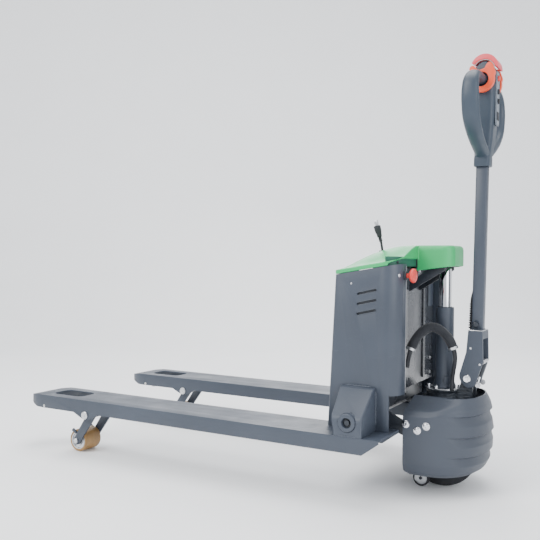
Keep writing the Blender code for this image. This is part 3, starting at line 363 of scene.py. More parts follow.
SLATE = (0.047, 0.058, 0.079)
DARK = (0.020, 0.025, 0.034)
LOOKS = {
    "frame_paint": painted("frame_paint", SLATE),
    "panel_paint": painted("panel_paint", (0.052, 0.057, 0.068), 0.24, 0.12),
    "black_steel": painted("black_steel", DARK, 0.40, 0.15),
    "cast_iron": cast("cast_iron", (0.024, 0.030, 0.040)),
    "hood_green": moulded("hood_green", (0.018, 0.400, 0.120), 0.40, 700.0, 0.05, 0.04),
    # the hood's green darkened for the cheeks under its rear corners: painted shade
    "hood_green_painted_shade": moulded("hood_green_painted_shade", (0.012, 0.100, 0.062), 0.55, 700.0, 0.06, 0.05),
    "cover_plastic": moulded("cover_plastic", (0.042, 0.051, 0.069), 0.46),
    "head_plastic": moulded("head_plastic", (0.032, 0.047, 0.068), 0.44),
    "panel_grey": moulded("panel_grey", (0.190, 0.215, 0.250), 0.40),
    "signal_red": moulded("signal_red", (0.700, 0.045, 0.035), 0.34, 800.0, 0.05),
    "cap_red": moulded("cap_red", (0.720, 0.080, 0.100), 0.40, 800.0, 0.06),
    "throttle_orange": moulded("throttle_orange", (0.850, 0.090, 0.030), 0.42, 800.0, 0.10),
    "pale_nylon": moulded("pale_nylon", (0.520, 0.530, 0.520), 0.45),
    "cell_blue": moulded("cell_blue", (0.050, 0.070, 0.110), 0.50),
    "chrome_steel": metal("chrome_steel", (0.78, 0.79, 0.82), 0.10),
    "bright_steel": metal("bright_steel", (0.66, 0.67, 0.69), 0.28, (1, 1, 8)),
    "roller_tan": polyurethane("roller_tan", (0.330, 0.190, 0.070)),
    "black_rubber": rubber("black_rubber", (0.022, 0.023, 0.027)),
    "woven_sleeve": sleeve("woven_sleeve", (0.016, 0.018, 0.024)),
    "backdrop": backdrop("backdrop"),
}


# ---------------------------------------------------------------- mesh tools


def arc(x, y, radius, start, end, steps):
    """Points of an arc, from start to end in degrees."""
    angles = [math.radians(start + (end - start) * i / steps) for i in range(steps + 1)]
    return [(x + radius * math.cos(a), y + radius * math.sin(a)) for a in angles]


def circle(radius, steps, closed=False):
    """Points round a circle. closed repeats the first one at the end."""
    angles = [2 * math.pi * k / steps for k in range(steps + closed)]
    return [(radius * math.cos(a), radius * math.sin(a)) for a in angles]


def span(side, near, far):
    """The low and high y of a slab that lies between two distances from the middle."""
    return sorted((side * near, side * far))


def mirrored(profile):
    """The lower half of a (radius, height) outline with its mirror image added above it."""
    return profile + [(radius, -height) for radius, height in reversed(profile)]


def rectangle(low, high):
    return [(low[0], low[1]), (high[0], low[1]), (high[0], high[1]), (low[0], high[1])]


def rounded(points, radius, steps=8):
    """The closed outline with its corners turned into arcs. radius is one value or one each."""
    radii = radius if isinstance(radius, (list, tuple)) else [radius] * len(points)
    out = []
    for i, point in enumerate(points):
        here = Vector(point)
        before = (Vector(points[i - 1]) - here).normalized()
        after = (Vector(points[(i + 1) % len(points)]) - here).normalized()
        if radii[i] <= 0:
            out.append(tuple(here))
            continue
        half = before.angle(after) / 2
        centre = here + (before + after).normalized() * (radii[i] / math.sin(half))
        reach = radii[i] / math.tan(half)
        first = here + before * reach - centre
        sweep = first.angle_signed(here + after * reach - centre)
        for k in range(steps + 1):
            spoke = first.copy()
            spoke.rotate(Matrix.Rotation(-sweep * k / steps, 2))
            out.append(tuple(centre + spoke))
    return out


def capsule(ax, ay, ar, bx, by, br, steps=12):
    """The outline of two circles and the straight edges that touch both."""
    heading = math.degrees(math.atan2(by - ay, bx - ax))
    lean = math.degrees(math.acos((ar - br) / math.hypot(bx - ax, by - ay)))
    tail = arc(ax, ay, ar, heading + lean, heading + 360 - lean, steps)
    return tail + arc(bx, by, br, heading - lean, heading + lean, steps)


def finished(bm):
    bmesh.ops.recalc_face_normals(bm, faces=bm.faces)
    mesh = bpy.data.meshes.new("piece")
    bm.to_mesh(mesh)
    bm.free()
    return mesh


def lofted(loops):
    """A solid through the loops, closed by a face at each end."""
    bm = bmesh.new()
    rings = [[bm.verts.new(point) for point in loop] for loop in loops]
    count = len(rings[0])
    for low, high in zip(rings, rings[1:]):
        for i in range(count):
            j = (i + 1) % count
            bm.faces.new((low[i], low[j], high[j], high[i]))
    bm.faces.new(rings[0])
    bm.faces.new(rings[-1])
    return finished(bm)


def prism(outline, axis, low, high):
    """The outline extruded along an axis. It is (x, y) for Z, (x, z) for Y and (y, z) for X."""
    lift = {
        "X": lambda u, v, w: (w, u, v),
        "Y": lambda u, v, w: (u, w, v),
        "Z": lambda u, v, w: (u, v, w),
    }[axis]
    return lofted([[lift(u, v, w) for u, v in outline] for w in (low, high)])


def box(low, high):
    return prism(rectangle(low[:2], high[:2]), "Z", low[2], high[2])


AXIS_TURN = {
    "X": Matrix.Rotation(math.pi / 2, 4, "Y"),
    "Y": Matrix.Rotation(-math.pi / 2, 4, "X"),
    "Z": Matrix.Identity(4),
}


def turned(profile, axis, centre, steps=64):
    """The (radius, height) outline spun about an axis through centre."""
    bm = bmesh.new()
    verts = [bm.verts.new((radius, 0, height)) for radius, height in profile]
    edges = [bm.edges.new((verts[i - 1], verts[i])) for i in range(len(verts))]
    bmesh.ops.spin(
        bm, geom=verts + edges, cent=(0, 0, 0), axis=(0, 0, 1), angle=2 * math.pi, steps=steps
    )
    bmesh.ops.remove_doubles(bm, verts=bm.verts, dist=1e-6)
    bmesh.ops.dissolve_degenerate(bm, edges=bm.edges, dist=1e-6)
    bmesh.ops.transform(bm, verts=bm.verts, matrix=Matrix.Translation(centre) @ AXIS_TURN[axis])
    return finished(bm)


def rod(radius, axis, centre, low, high, steps=48):
    return turned([(0, low), (radius, low), (radius, high), (0, high)], axis, centre, steps)


def applied(mesh, kind, **settings):
    """The mesh with one modifier applied."""
    obj = linked("tool", mesh)
    modifier = obj.modifiers.new("tool", kind)
    for name, value in settings.items():
        setattr(modifier, name, value)
    graph = bpy.context.evaluated_depsgraph_get()
    result = bpy.data.meshes.new_from_object(obj.evaluated_get(graph))
    bpy.data.objects.remove(obj, do_unlink=True)
    return result


def combined(first, second, operation):
    other = linked("other", second)
    result = applied(first, "BOOLEAN", operation=operation, solver="EXACT", object=other)
    bpy.data.objects.remove(other, do_unlink=True)
    return result


def cut(mesh, *tools):
    for tool in tools:
        mesh = combined(mesh, tool, "DIFFERENCE")
    return mesh


def joined(mesh, *others):
    for other in others:
        mesh = combined(mesh, other, "UNION")
    return mesh


def merged(*meshes):
    """Several separate solids in one mesh."""
    bm = bmesh.new()
    for mesh in meshes:
        bm.from_mesh(mesh)
    return finished(bm)


def eased(mesh, width=0.001, segments=2, angle=30, weigh=None):
    """Every edge sharper than angle is rounded. weigh gives each edge's share of width."""
    bm = bmesh.new()
    bm.from_mesh(mesh)
    bmesh.ops.remove_doubles(bm, verts=bm.verts, dist=2e-5)
    bmesh.ops.dissolve_limit(bm, angle_limit=math.radians(1.0), verts=bm.verts, edges=bm.edges)
    bmesh.ops.recalc_face_normals(bm, faces=bm.faces)
    layers = bm.edges.layers.float
    layer = layers.get("bevel_weight_edge") or layers.new("bevel_weight_edge")
    for edge in bm.edges:
        sharp = len(edge.link_faces) == 2 and edge.calc_face_angle(0) > math.radians(angle)
        middle = (edge.verts[0].co + edge.verts[1].co) / 2
        edge[layer] = (weigh(middle, edge) if weigh else 1.0) if sharp else 0.0
    welded = bpy.data.meshes.new("piece")
    bm.to_mesh(welded)
    bm.free()
    return applied(
        welded, "BEVEL", width=width, segments=segments, limit_method="WEIGHT", miter_outer="MITER_ARC",
        use_clamp_overlap=True, harden_normals=False,
    )


def moulded_mesh(mesh, voxel, passes, keep=0.4):
    """Melts a rough union into one smooth moulded surface, its edges rounded by the smoothing."""
    mesh = applied(mesh, "REMESH", mode="VOXEL", voxel_size=voxel, use_smooth_shade=True)
    mesh = applied(mesh, "SMOOTH", factor=0.5, iterations=passes)
    return applied(mesh, "DECIMATE", ratio=keep)


def smooth_path(points, count):
    """Points on a Catmull-Rom curve through the given points."""
    head = 2 * Vector(points[0]) - Vector(points[1])
    tail = 2 * Vector(points[-1]) - Vector(points[-2])
    knots = [head] + [Vector(p) for p in points] + [tail]
    out = []
    for i in range(count):
        where = (len(points) - 1) * i / (count - 1)
        k = min(int(where), len(points) - 2)
        t = where - k
        a, b, c, d = knots[k : k + 4]
        ramp = (c - a) * t + (2 * a - 5 * b + 4 * c - d) * t**2 + (3 * b - a - 3 * c + d) * t**3
        out.append(b + 0.5 * ramp)
    return out


def tube(path, radius, sides=20, swell=None):
    """A round tube along a path. swell(i, angle) multiplies the radius."""
    up = Vector((0, 0, 1))
    rings = []
    for i, here in enumerate(path):
        heading = (path[min(i + 1, len(path) - 1)] - path[max(i - 1, 0)]).normalized()
        side = heading.cross(up)
        if side.length <= 0.05:
            side = heading.cross(Vector((0, 1, 0)))
        side.normalize()
        up = side.cross(heading).normalized()
        ring = []
        for k in range(sides):
            angle = 2 * math.pi * k / sides
            reach = radius * (swell(i, angle) if swell else 1.0)
            ring.append(here + (side * math.cos(angle) + up * math.sin(angle)) * reach)
        rings.append(ring)
    return lofted(rings)


def piece(name, mesh, look, body, replaces=(), shifted=True, crease=35):
    """Puts a finished mesh in the scene, on its body, with its material."""
    if shifted:
        mesh.transform(Matrix.Translation((HEEL_X, 0, 0)))
    mesh.materials.clear()
    mesh.materials.append(LOOKS[look])
    for polygon in mesh.polygons:
        polygon.material_index = 0
    mesh.shade_smooth()
    mesh.set_sharp_from_angle(angle=math.radians(crease))
    mesh.name = name
    obj = linked(name, mesh)
    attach(obj, body)
    if replaces:
        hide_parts(*replaces)
    return obj


def spun(name, profile, axis, centre, steps, look, body, replaces=()):
    """A piece turned on a lathe."""
    return piece(name, turned(profile, axis, centre, steps), look, body, replaces)


def headed_pin(head, radius, centre, reach, steps):
    """A pin along Y with the head's outline turned at both ends."""
    solids = []
    for sign in (-1, 1):
        end = turned(head, "Z", (0, 0, 0), 40)
        place = Matrix.Translation(Vector(centre) + Vector((0, sign * reach, 0)))
        end.transform(place @ axis_matrix((0, sign, 0)))
        solids.append(end)
    return merged(*solids, rod(radius, "Y", centre, -reach, reach, steps))


def from_cad(node, look, width=0.001, segments=2, weigh=None, angle=30):
    """The CAD node's own shape with rounded edges and a finer surface."""
    mesh = eased(frame["nodes"][node].data.copy(), width, segments, angle, weigh)
    return piece(f"{node}_shape", mesh, look, BODY_OF[node], (node,), shifted=False)


def socket_screw(radius, height, axis, centre, steps=32):
    """A domed cap screw with a hexagon socket, standing on its washer."""
    dome = [(0, 0), (radius * 1.25, 0), (radius * 1.25, height * 0.22), (radius, height * 0.24)]
    dome += [(radius, height * 0.70), (radius * 0.86, height * 0.94), (radius * 0.70, height), (0, height)]
    head = turned(dome, "Z", (0, 0, 0), steps)
    head = cut(head, prism(circle(radius * 0.46, 6), "Z", height * 0.45, height * 1.2))
    head.transform(Matrix.Translation(centre) @ axis_matrix(axis))
    return head


def axis_matrix(direction):
    """Turns +Z to the direction."""
    return Vector((0, 0, 1)).rotation_difference(Vector(direction)).to_matrix().to_4x4()


def hex_bolt(radius, height, axis, centre):
    """A hexagon head with chamfered corners on a washer."""
    head = prism(circle(radius, 6), "Z", height * 0.25, height)
    cone = [(0, -0.01), (radius * 1.5, -0.01), (radius * 0.8, height * 1.12), (0, height * 1.12)]
    head = combined(head, turned(cone, "Z", (0, 0, 0)), "INTERSECT")
    head = merged(head, rod(radius * 1.3, "Z", (0, 0, 0), 0, height * 0.24, 64))
    head.transform(Matrix.Translation(centre) @ axis_matrix(axis))
    return head


def weld_bead(points, radius, seed):
    """A ropy bead of weld along a line of points."""
    length = sum((Vector(b) - Vector(a)).length for a, b in zip(points, points[1:]))
    count = max(int(length / 0.0012), 8)
    path = smooth_path(points, count)
    rng = random.Random(seed)
    phase = rng.random() * 6

    def swell(i, angle):
        taper = min(1.0, (i + 1) / 6, (count - i) / 6)
        return taper * (1 + 0.16 * math.sin(i * 0.9 + phase) + 0.08 * math.sin(i * 0.31 + phase))

    return tube(path, radius, 12, swell)


# ---------------------------------------------------------------- the charger's cord

CORD_RADIUS = 0.0035
COIL_X, COIL_Y, COIL_Z = 0.068, -0.0985, 0.618
COIL_MEAN, COIL_HEIGHT, COIL_TURNS = 0.0385, 0.050, 5.75
EXIT_X, EXIT_Y = 0.038, -0.060
PLUG_FOOT = Vector((0.0330, EXIT_Y, 0.7053))
PLUG_LEAN = math.radians(-16)


def cord_route():
    """From the gland, round the coil under the hood, and up through the hood's grommet."""
    start_x = COIL_X - COIL_MEAN
    low = COIL_Z - COIL_HEIGHT / 2 + CORD_RADIUS + 0.0005
    top = COIL_Z + COIL_HEIGHT / 2 - CORD_RADIUS
    route = [Vector((start_x, y, low)) for y in (-0.0303, -0.045, -0.060, -0.0725, -0.085)]
    steps = int(COIL_TURNS * 24)
    for i in range(steps + 1):
        share = i / steps
        angle = math.pi + 2 * math.pi * COIL_TURNS * share
        level = low + (top - low) * share
        x, y = COIL_X + COIL_MEAN * math.cos(angle), COIL_Y + COIL_MEAN * math.sin(angle)
        route.append(Vector((x, y, level)))
    riser = [(COIL_X, EXIT_Y, top), (COIL_X - 0.0205, EXIT_Y, top + 0.0070)]
    riser += [(COIL_X - 0.0260, EXIT_Y, top + 0.0135), (EXIT_X + 0.0003, EXIT_Y, top + 0.026)]
    riser += [(EXIT_X - 0.0005, EXIT_Y, 0.678), (EXIT_X - 0.0020, EXIT_Y, 0.690), tuple(PLUG_FOOT)]
    return route + smooth_path(riser, 20)[1:]


def make_cord():
    route = [point + Vector((HEEL_X, 0, 0)) for point in cord_route()]
    curve = bpy.data.curves.new("charger_lead", "CURVE")
    curve.dimensions = "3D"
    curve.bevel_depth = CORD_RADIUS
    curve.bevel_resolution = 4
    curve.use_fill_caps = True
    curve.materials.append(LOOKS["black_rubber"])
    spline = curve.splines.new("POLY")
    spline.points.add(len(route) - 1)
    for target, point in zip(spline.points, route):
        target.co = (*point, 1)
    lead = linked("charger_lead", curve)
    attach(lead, "fork_frame")
    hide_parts("cord_inner", "cord_coil", "cord_outer")
    relief = make_strain_relief(route[0])
    plug = make_plug()


def make_strain_relief(start):
    """A tapered ribbed sleeve between the charger and the cord."""
    length, ribs = 0.0294, 6
    profile = [(0, 0.0004), (0.0042, 0.0004)]
    for i in range(ribs):
        low = 0.001 + (length - 0.008) * i / ribs
        reach = 0.0046 + 0.0016 * i / ribs
        profile += [(reach, low), (reach, low + 0.0022)]
        profile += [(reach - 0.0009, low + 0.0026), (reach - 0.0009, low + 0.0034)]
    profile += [(0.0066, length - 0.006), (0.0066, length), (0, length)]
    mesh = turned(profile, "Y", (start.x - HEEL_X, -0.030, start.z), 28)
    return piece("cord_strain_relief", mesh, "black_rubber", "fork_frame", ("cord_gland",))


def make_plug():
    """The moulded plug: ribbed relief, waisted grip, two flat blades and an earth pin."""
    sections = [(0.0000, 0.0042, 0.0042)]
    for i in range(4):
        low = 0.0008 + 0.0030 * i
        sections += [(low, 0.0052, 0.0052), (low + 0.0016, 0.0052, 0.0052)]
        sections += [(low + 0.0018, 0.0045, 0.0045), (low + 0.0028, 0.0045, 0.0045)]
    sections += [(0.0132, 0.0060, 0.0052), (0.0150, 0.0086, 0.0068), (0.0200, 0.0092, 0.0070)]
    sections += [(0.0250, 0.0100, 0.0078), (0.0310, 0.0124, 0.0090), (0.0400, 0.0132, 0.0096)]
    sections += [(0.0455, 0.0134, 0.0100), (0.0475, 0.0128, 0.0094), (0.0480, 0.0118, 0.0084)]
    ring = circle(1, 32)
    body = lofted([[(x * half_x, y * half_y, z) for x, y in ring] for z, half_y, half_x in sections])
    place = Matrix.Translation(PLUG_FOOT) @ Matrix.Rotation(PLUG_LEAN, 4, "Y")
    body.transform(place)
    plug = piece("plug_body", body, "black_rubber", "fork_frame", ("charger_plug",))
    pins = []
    for y in (-0.0063, 0.0063):
        pins.append(eased(box((-0.0032, y - 0.0008, 0.0470), (0.0030, y + 0.0008, 0.0640)), 0.0005, 2))
    earth = [(0, 0.0470), (0.0024, 0.0470), (0.0024, 0.0640), (0.0019, 0.0655), (0.0008, 0.0662)]
    earth += [(0, 0.0662)]
    pins = merged(*pins, turned(earth, "Z", (0.0050, 0, 0), 20))
    pins.transform(place)
    blades = piece("plug_blades", pins, "bright_steel", "fork_frame")
    blades.parent = plug
    blades.matrix_parent_inverse = plug.matrix_world.inverted()
    return plug


# ---------------------------------------------------------------- forks

BODY_HALF = 0.242
WELD_Z = FORK_TOP + 0.0018  # middle of a bead that lies on a fork


def make_forks():
    def fork_edges(middle, edge):
        return 1.0 if middle.z > FORK_TOP - 0.016 and edge.is_convex else 0.22

    head = [(0, 0), (0.0130, 0), (0.0130, 0.0022), (0.0112, 0.0038), (0.0045, 0.0040)]
    head += [(0.0030, 0.0030), (0, 0.0028)]
    for side_name, side in SIDES.items():
        centre = side * FORK_Y
        from_cad(f"fork_{side_name}", "frame_paint", 0.0046, 4, fork_edges, 22)
        node = f"bracket_pin_{side_name}"
        pin = headed_pin(head, 0.0078, (BRACKET_X, centre, BRACKET_Z), FORK_HALF + 0.0003, 32)
        piece(f"{node}_shape", pin, "bright_steel", "fork_frame", (node,))
        make_load_wheel(side_name, centre)
        make_entry_roller(side_name, centre)
        from_cad(f"push_rod_{side_name}", "black_steel", 0.0012, 2)
        make_gusset(side_name, side)
        make_boss(side_name, side)
        seam = [Vector((x, side * (BODY_HALF + 0.0015), WELD_Z)) for x in (-0.040, 0.000)]
        piece(f"heel_weld_{side_name}", weld_bead(seam, 0.0026, 11), "frame_paint", "fork_frame")


def make_load_wheel(side_name, centre):
    """Bracket with its stop tab, axle with snap ring, and the ribbed-hub roller."""
    bracket = f"wheel_bracket_{side_name}"
    body = BODY_OF[bracket]
    from_cad(bracket, "frame_paint", 0.0014, 3)
    tab = rounded([(-0.9665, 0.0690), (-0.9480, 0.0600), (-0.9440, 0.0660), (-0.9610, 0.0780)], 0.002, 4)
    tabs = []
    for middle in (centre - 0.0411, centre + 0.0411):
        tabs.append(eased(prism(tab, "Y", middle - 0.003, middle + 0.003), 0.0008, 2))
    piece(f"bracket_tabs_{side_name}", merged(*tabs), "frame_paint", body)
    axle = f"roller_axle_{side_name}"
    low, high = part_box(axle)
    x, z = (low.x + high.x) / 2 - HEEL_X, (low.z + high.z) / 2
    end = [(0, -0.0495), (0.0070, -0.0495), (0.0088, -0.0482), (0.0088, -0.0443), (0.0060, -0.0443)]
    spun(f"{axle}_shape", mirrored(end), "Y", (x, centre, z), 40, "bright_steel", body, (axle,))
    roller = f"load_roller_{side_name}"
    radius, half = 0.0369, 0.036
    tread = [(0.0290, -half + 0.0012), (radius - 0.0040, -half + 0.0002), (radius - 0.0014, -half + 0.0012)]
    tread += [(radius - 0.0002, -half + 0.0036), (radius, -half + 0.006)]
    spot = (x, centre, radius)
    spun(f"{roller}_tread", mirrored(tread), "Y", spot, 96, "roller_tan", roller, (roller,))
    core = [(0.0064, -half + 0.004), (0.0110, -half + 0.0015), (0.0165, -half + 0.0015)]
    core += [(0.0180, -half + 0.005), (0.0250, -half + 0.005), (0.0262, -half + 0.0008)]
    core += [(0.0289, -half + 0.0008)]
    spun(f"{roller}_hub", mirrored(core), "Y", spot, 72, "bright_steel", roller)


def make_entry_roller(side_name, centre):
    """The grooved roller on its pin, turned as one."""
    node = f"entry_roller_{side_name}"
    half, radius = 0.028, 0.0198
    profile = [(0, -0.0765), (0.0050, -0.0765), (0.0050, -half - 0.001), (0.0085, -half - 0.001)]
    profile += [(0.0085, -half), (radius - 0.002, -half), (radius, -half + 0.002)]
    for groove in (-0.014, 0.0, 0.014):
        profile += [(radius, groove - 0.0016), (radius - 0.0010, groove - 0.0008)]
        profile += [(radius - 0.0010, groove + 0.0008), (radius, groove + 0.0016)]
    profile += [(radius, half - 0.002), (radius - 0.002, half), (0.0085, half), (0.0085, half + 0.001)]
    profile += [(0.0050, half + 0.001), (0.0050, 0.0765), (0, 0.0765)]
    spun(f"{node}_shape", profile, "Y", (ENTRY_X, centre, ENTRY_Z), 64, "pale_nylon", node, (node,))


def make_gusset(side_name, side):
    """The pressed hump with its welds to the body and to the fork."""

    def hump_edges(middle, edge):
        outside = abs(middle.y) > 0.250 and middle.z > 0.190 and edge.is_convex
        bore = (middle.x - HEEL_X - SHAFT_X) ** 2 + (middle.z - SHAFT_Z) ** 2 < 0.028**2
        return 1.0 if outside and not bore else 0.08

    from_cad(f"gusset_{side_name}", "frame_paint", 0.0095, 5, hump_edges, 25)
    top = [(x, 0.2444, 0.3045) for x in (0.004, 0.040, 0.084)]
    front = [(0.0125 - 0.18 * (z - 0.190), 0.2438, z) for z in (0.192, 0.245, 0.296)]
    rear = [(0.0935, 0.2438, z) for z in (0.198, 0.250, 0.296)]
    foot = [(0.016, 0.3405, WELD_Z), (0.050, 0.3412, WELD_Z), (0.086, 0.3405, WELD_Z)]
    beads = []
    for seed, line in enumerate((top, front, rear, foot)):
        beads.append(weld_bead([(x, side * y, z) for x, y, z in line], 0.0030, seed))
    piece(f"gusset_welds_{side_name}", merged(*beads), "frame_paint", "fork_frame")


def make_boss(side_name, side):
    """The bearing boss with a recessed bolt head in its bore."""
    profile = [(0.0166, 0.3195), (0.0243, 0.3195), (0.0243, 0.3440), (0.0236, 0.3454), (0.0222, 0.3463)]
    profile += [(0.0150, 0.3465), (0.0138, 0.3458), (0.0130, 0.3400), (0.0128, 0.3345), (0, 0.3345)]
    profile += [(0, 0.3330), (0.0166, 0.3330)]
    boss = turned(profile, "Y", (0, 0, 0), 56)
    bolt = hex_bolt(0.0085, 0.0070, (0, 1, 0), (0, 0.3345, 0))
    bead = [(x, 0.3340, z) for x, z in circle(0.0250, 32, True)]
    ring = tube(smooth_path(bead, 96), 0.0022, 10, lambda i, a: 1 + 0.15 * math.sin(i * 0.8))
    turn = Matrix.Rotation(math.pi if side < 0 else 0, 4, "Z")
    place = Matrix.Translation((SHAFT_X, 0, SHAFT_Z)) @ turn
    for mesh in (boss, bolt, ring):
        mesh.transform(place)
    node = f"shaft_boss_{side_name}"
    piece(f"{node}_shape", merged(boss, ring), "frame_paint", "fork_frame", (node,))
    piece(f"{node}_bolt", bolt, "black_steel", "fork_frame")


# ---------------------------------------------------------------- body

BODY_LOW, SHEET = 0.1853, 0.004
FRONT_X, FRONT_SLANT = -0.033, 0.047
POST_X, POST_INNER, POST_RADIUS = 0.153, 0.175, 0.045
JOINT_X, JOINT_Z, JOINT_SLOPE = -0.028, 0.609, 0.171
PANEL_X, PANEL_LOW, PANEL_TOP = 0.115, 0.280, 0.628


def joint_z(x):
    return JOINT_Z + JOINT_SLOPE * (x - JOINT_X)


def band(path, thickness):
    """The open path as a closed outline, thickened on the left of its direction."""
    inner = []
    for i, point in enumerate(path):
        here = Vector(point)
        back = (here - Vector(path[i - 1])).normalized() if i else None
        ahead = (Vector(path[i + 1]) - here).normalized() if i < len(path) - 1 else None
        back, ahead = back or ahead, ahead or back
        normal = Vector((-back.y - ahead.y, back.x + ahead.x)).normalized()
        inner.append(tuple(here + normal * (thickness / normal.dot(Vector((-ahead.y, ahead.x))))))
    return list(path) + inner[::-1]


def make_body():
    """The folded sheet with its vents and screws, and what is fixed behind it."""
    corner = arc(POST_X - POST_RADIUS, POST_RADIUS - BODY_HALF, POST_RADIUS, 0, -90, 24)
    front = arc(FRONT_X + 0.012, 0.012 - BODY_HALF, 0.012, 270, 180, 10)
    half = [(0.098, -POST_INNER), (POST_X, -POST_INNER)] + corner + front
    path = half + [(x, -y) for x, y in reversed(half)]
    outline = band(path[::-1], SHEET)
    loops = []
    for top in (False, True):
        loop = []
        for x, y in outline:
            z = joint_z(max(x, JOINT_X)) if top else BODY_LOW
            slant = FRONT_SLANT * (z - JOINT_Z) if x < FRONT_X + 0.018 else 0
            loop.append((x + slant, y, z))
        loops.append(loop)
    shell = lofted(loops)
    lips = []
    for row in range(3):
        low = (0.0385 - 0.0006 * row, 0.557 - 0.0275 * row)
        high = (low[0] + 0.0505, low[1] + 0.0115)
        shell = cut(shell, prism(capsule(*low, 0.0032, *high, 0.0032, 10), "Y", -0.26, 0.26))
        edge = capsule(*low, 0.0040, *high, 0.0040, 10)
        for side in SIDES.values():
            ring = [Vector((x, side * (BODY_HALF - 0.0002), z)) for x, z in edge]
            lips.append(tube(ring + [ring[0]], 0.0009, 8))
    shell = cut(
        shell,
        rod(0.0180, "Y", (SHAFT_X, 0, SHAFT_Z), -0.300, 0.300),
        rod(0.0085, "X", (POST_X, ESTOP_Y, ESTOP_Z), -0.010, 0.010),
        box((0.128, -0.260, 0.170), (0.200, 0.260, PANEL_LOW + 0.003)),
        box((0.096, -0.205, 0.170), (0.200, 0.205, PANEL_LOW + 0.003)),
    )
    piece("battery_box_shape", eased(shell, 0.0009, 2, 34), "frame_paint", "fork_frame", ("battery_box",))
    piece("vent_lips", merged(*lips), "frame_paint", "fork_frame")
    make_vent_backing()
    make_rear_panel()
    angle = math.radians(-28)
    spot = (
        POST_X - POST_RADIUS + POST_RADIUS * math.cos(angle) - 0.0004,
        POST_RADIUS - BODY_HALF + POST_RADIUS * math.sin(angle),
        0.6085,
    )
    screws = [socket_screw(0.0036, 0.0030, (math.cos(angle), math.sin(angle), 0), spot)]
    for side in (-1, 1):
        screws.append(socket_screw(0.0022, 0.0012, (0, side, 0), (0.018, side * BODY_HALF, 0.5850)))
    piece("body_screws", merged(*screws), "chrome_steel", "fork_frame")


def make_vent_backing():
    """Dark baffles behind the vents."""
    sheets = []
    for side in SIDES.values():
        low, high = span(side, BODY_HALF - 0.0065, BODY_HALF - 0.0055)
        sheets.append(box((0.028, low, 0.490), (0.098, high, 0.580)))
    piece("vent_baffles", eased(merged(*sheets), 0.0003, 1), "black_steel", "fork_frame")


def make_rear_panel():
    """The panel's folded ribs, access plates and bolts, and a painted highlight down each post's inner edge.
    """
    from_cad("rear_panel", "panel_paint", 0.0016, 3)
    face = PANEL_X + SHEET
    plates, ribs, bolts, edges = [], [], [], []
    for side in SIDES.values():
        low, high = span(side, 0.120, 0.171)
        outline = rounded(rectangle((low, 0.507), (high, 0.5835)), 0.003, 5)
        plates.append(eased(prism(outline, "X", face + 0.0002, face + 0.0030), 0.0008, 2))
        low, high = span(side, 0.070, 0.096)
        outline = rounded(rectangle((low, PANEL_LOW + 0.012), (high, PANEL_TOP - 0.060)), 0.006, 6)
        ribs.append(eased(prism(outline, "X", face - 0.0005, face + 0.0040), 0.0030, 4))
        for z in (0.345, 0.300):
            bolts.append(hex_bolt(0.0055, 0.0042, (1, 0, 0), (face + 0.0002, side * 0.145, z)))
        # a thin bright steel line down each post's inner edge: a painted highlight where the fold catches
        # the light
        x, y = POST_X - 0.0006, side * (POST_INNER + 0.0012)
        edges.append(tube([Vector((x, y, z)) for z in (PANEL_LOW + 0.006, 0.40, 0.634)], 0.0011, 8))
    piece("access_plates", merged(*plates), "frame_paint", "fork_frame")
    piece("panel_ribs", merged(*ribs), "panel_paint", "fork_frame")
    piece("panel_bolts", merged(*bolts), "bright_steel", "fork_frame")
    piece("post_edge_highlight", merged(*edges), "bright_steel", "fork_frame")


# ---------------------------------------------------------------- hood

TONGUE_HALF = 0.070

def ridge_z(x):
    """Height of the dome along the middle."""
    along = min(max((x - FRONT_X) / 0.163, 0), 1)
    return 0.642 + 0.051 * math.sin(along * math.pi / 2) ** 0.8


def hood_outline(inset):
    """The wide part's plan."""
    half = BODY_HALF + 0.001 - inset
    front, rear = FRONT_X - 0.001 + inset, 0.150 - inset
    corners = [(front, -half), (rear, -half), (rear, half), (front, half)]
    return rounded(corners, [0.014, 0.044 - inset, 0.044 - inset, 0.014], 14)


def hood_dome(inset):
    """The wide part as a solid, crowned from side to side, with a flat band above the seam."""
    columns, rows_count = 60, 36
    rows = []
    for step in range(rows_count + 1):
        x = FRONT_X - 0.02 + 0.22 * step / rows_count
        edge = joint_z(max(x, JOINT_X)) + 0.0125
        row = []
        for k in range(columns + 1):
            y = (2 * k / columns - 1) * (BODY_HALF + 0.02)
            across = min(max((abs(y) - 0.060) / 0.182, 0), 1)
            rise = math.cos(across * math.pi / 2) ** 2
            row.append((x, y, edge + (ridge_z(x) - edge) * rise - inset))
        rows.append(row)
    bm = bmesh.new()
    tops = [[bm.verts.new(point) for point in row] for row in rows]
    lows = [[bm.verts.new((x, y, 0.560)) for x, y, _ in row] for row in rows]
    for grid in (tops, lows):
        for a, b in zip(grid, grid[1:]):
            for i in range(columns):
                bm.faces.new((a[i], a[i + 1], b[i + 1], b[i]))
    for end in (0, -1):
        for i in range(columns):
            bm.faces.new((tops[end][i], tops[end][i + 1], lows[end][i + 1], lows[end][i]))
        for i in range(rows_count):
            bm.faces.new((tops[i][end], tops[i + 1][end], lows[i + 1][end], lows[i][end]))
    return combined(finished(bm), prism(hood_outline(inset), "Z", 0.570, 0.750), "INTERSECT")


def tongue_solid(inset):
    """The narrow part over the lift cylinder, its top edge rounded."""
    half, rear, front = TONGUE_HALF - inset, 0.2505 - inset, 0.120 + inset
    corners = [(front, -half), (rear, -half), (rear, half), (front, half)]
    plan = rounded(corners, [0.004, 0.030, 0.030, 0.004], 14)
    middle = (front + rear) / 2
    loops = []
    for z, shrink in ((0.566, 0), (0.6812 - inset, 0), (0.6880 - inset, 0.0015), (0.6935 - inset, 0.0075)):
        scale_x, scale_y = 1 - shrink / TONGUE_HALF, 1 - shrink / half
        loops.append([(middle + (x - middle) * scale_x, y * scale_y, z) for x, y in plan])
    return lofted(loops)


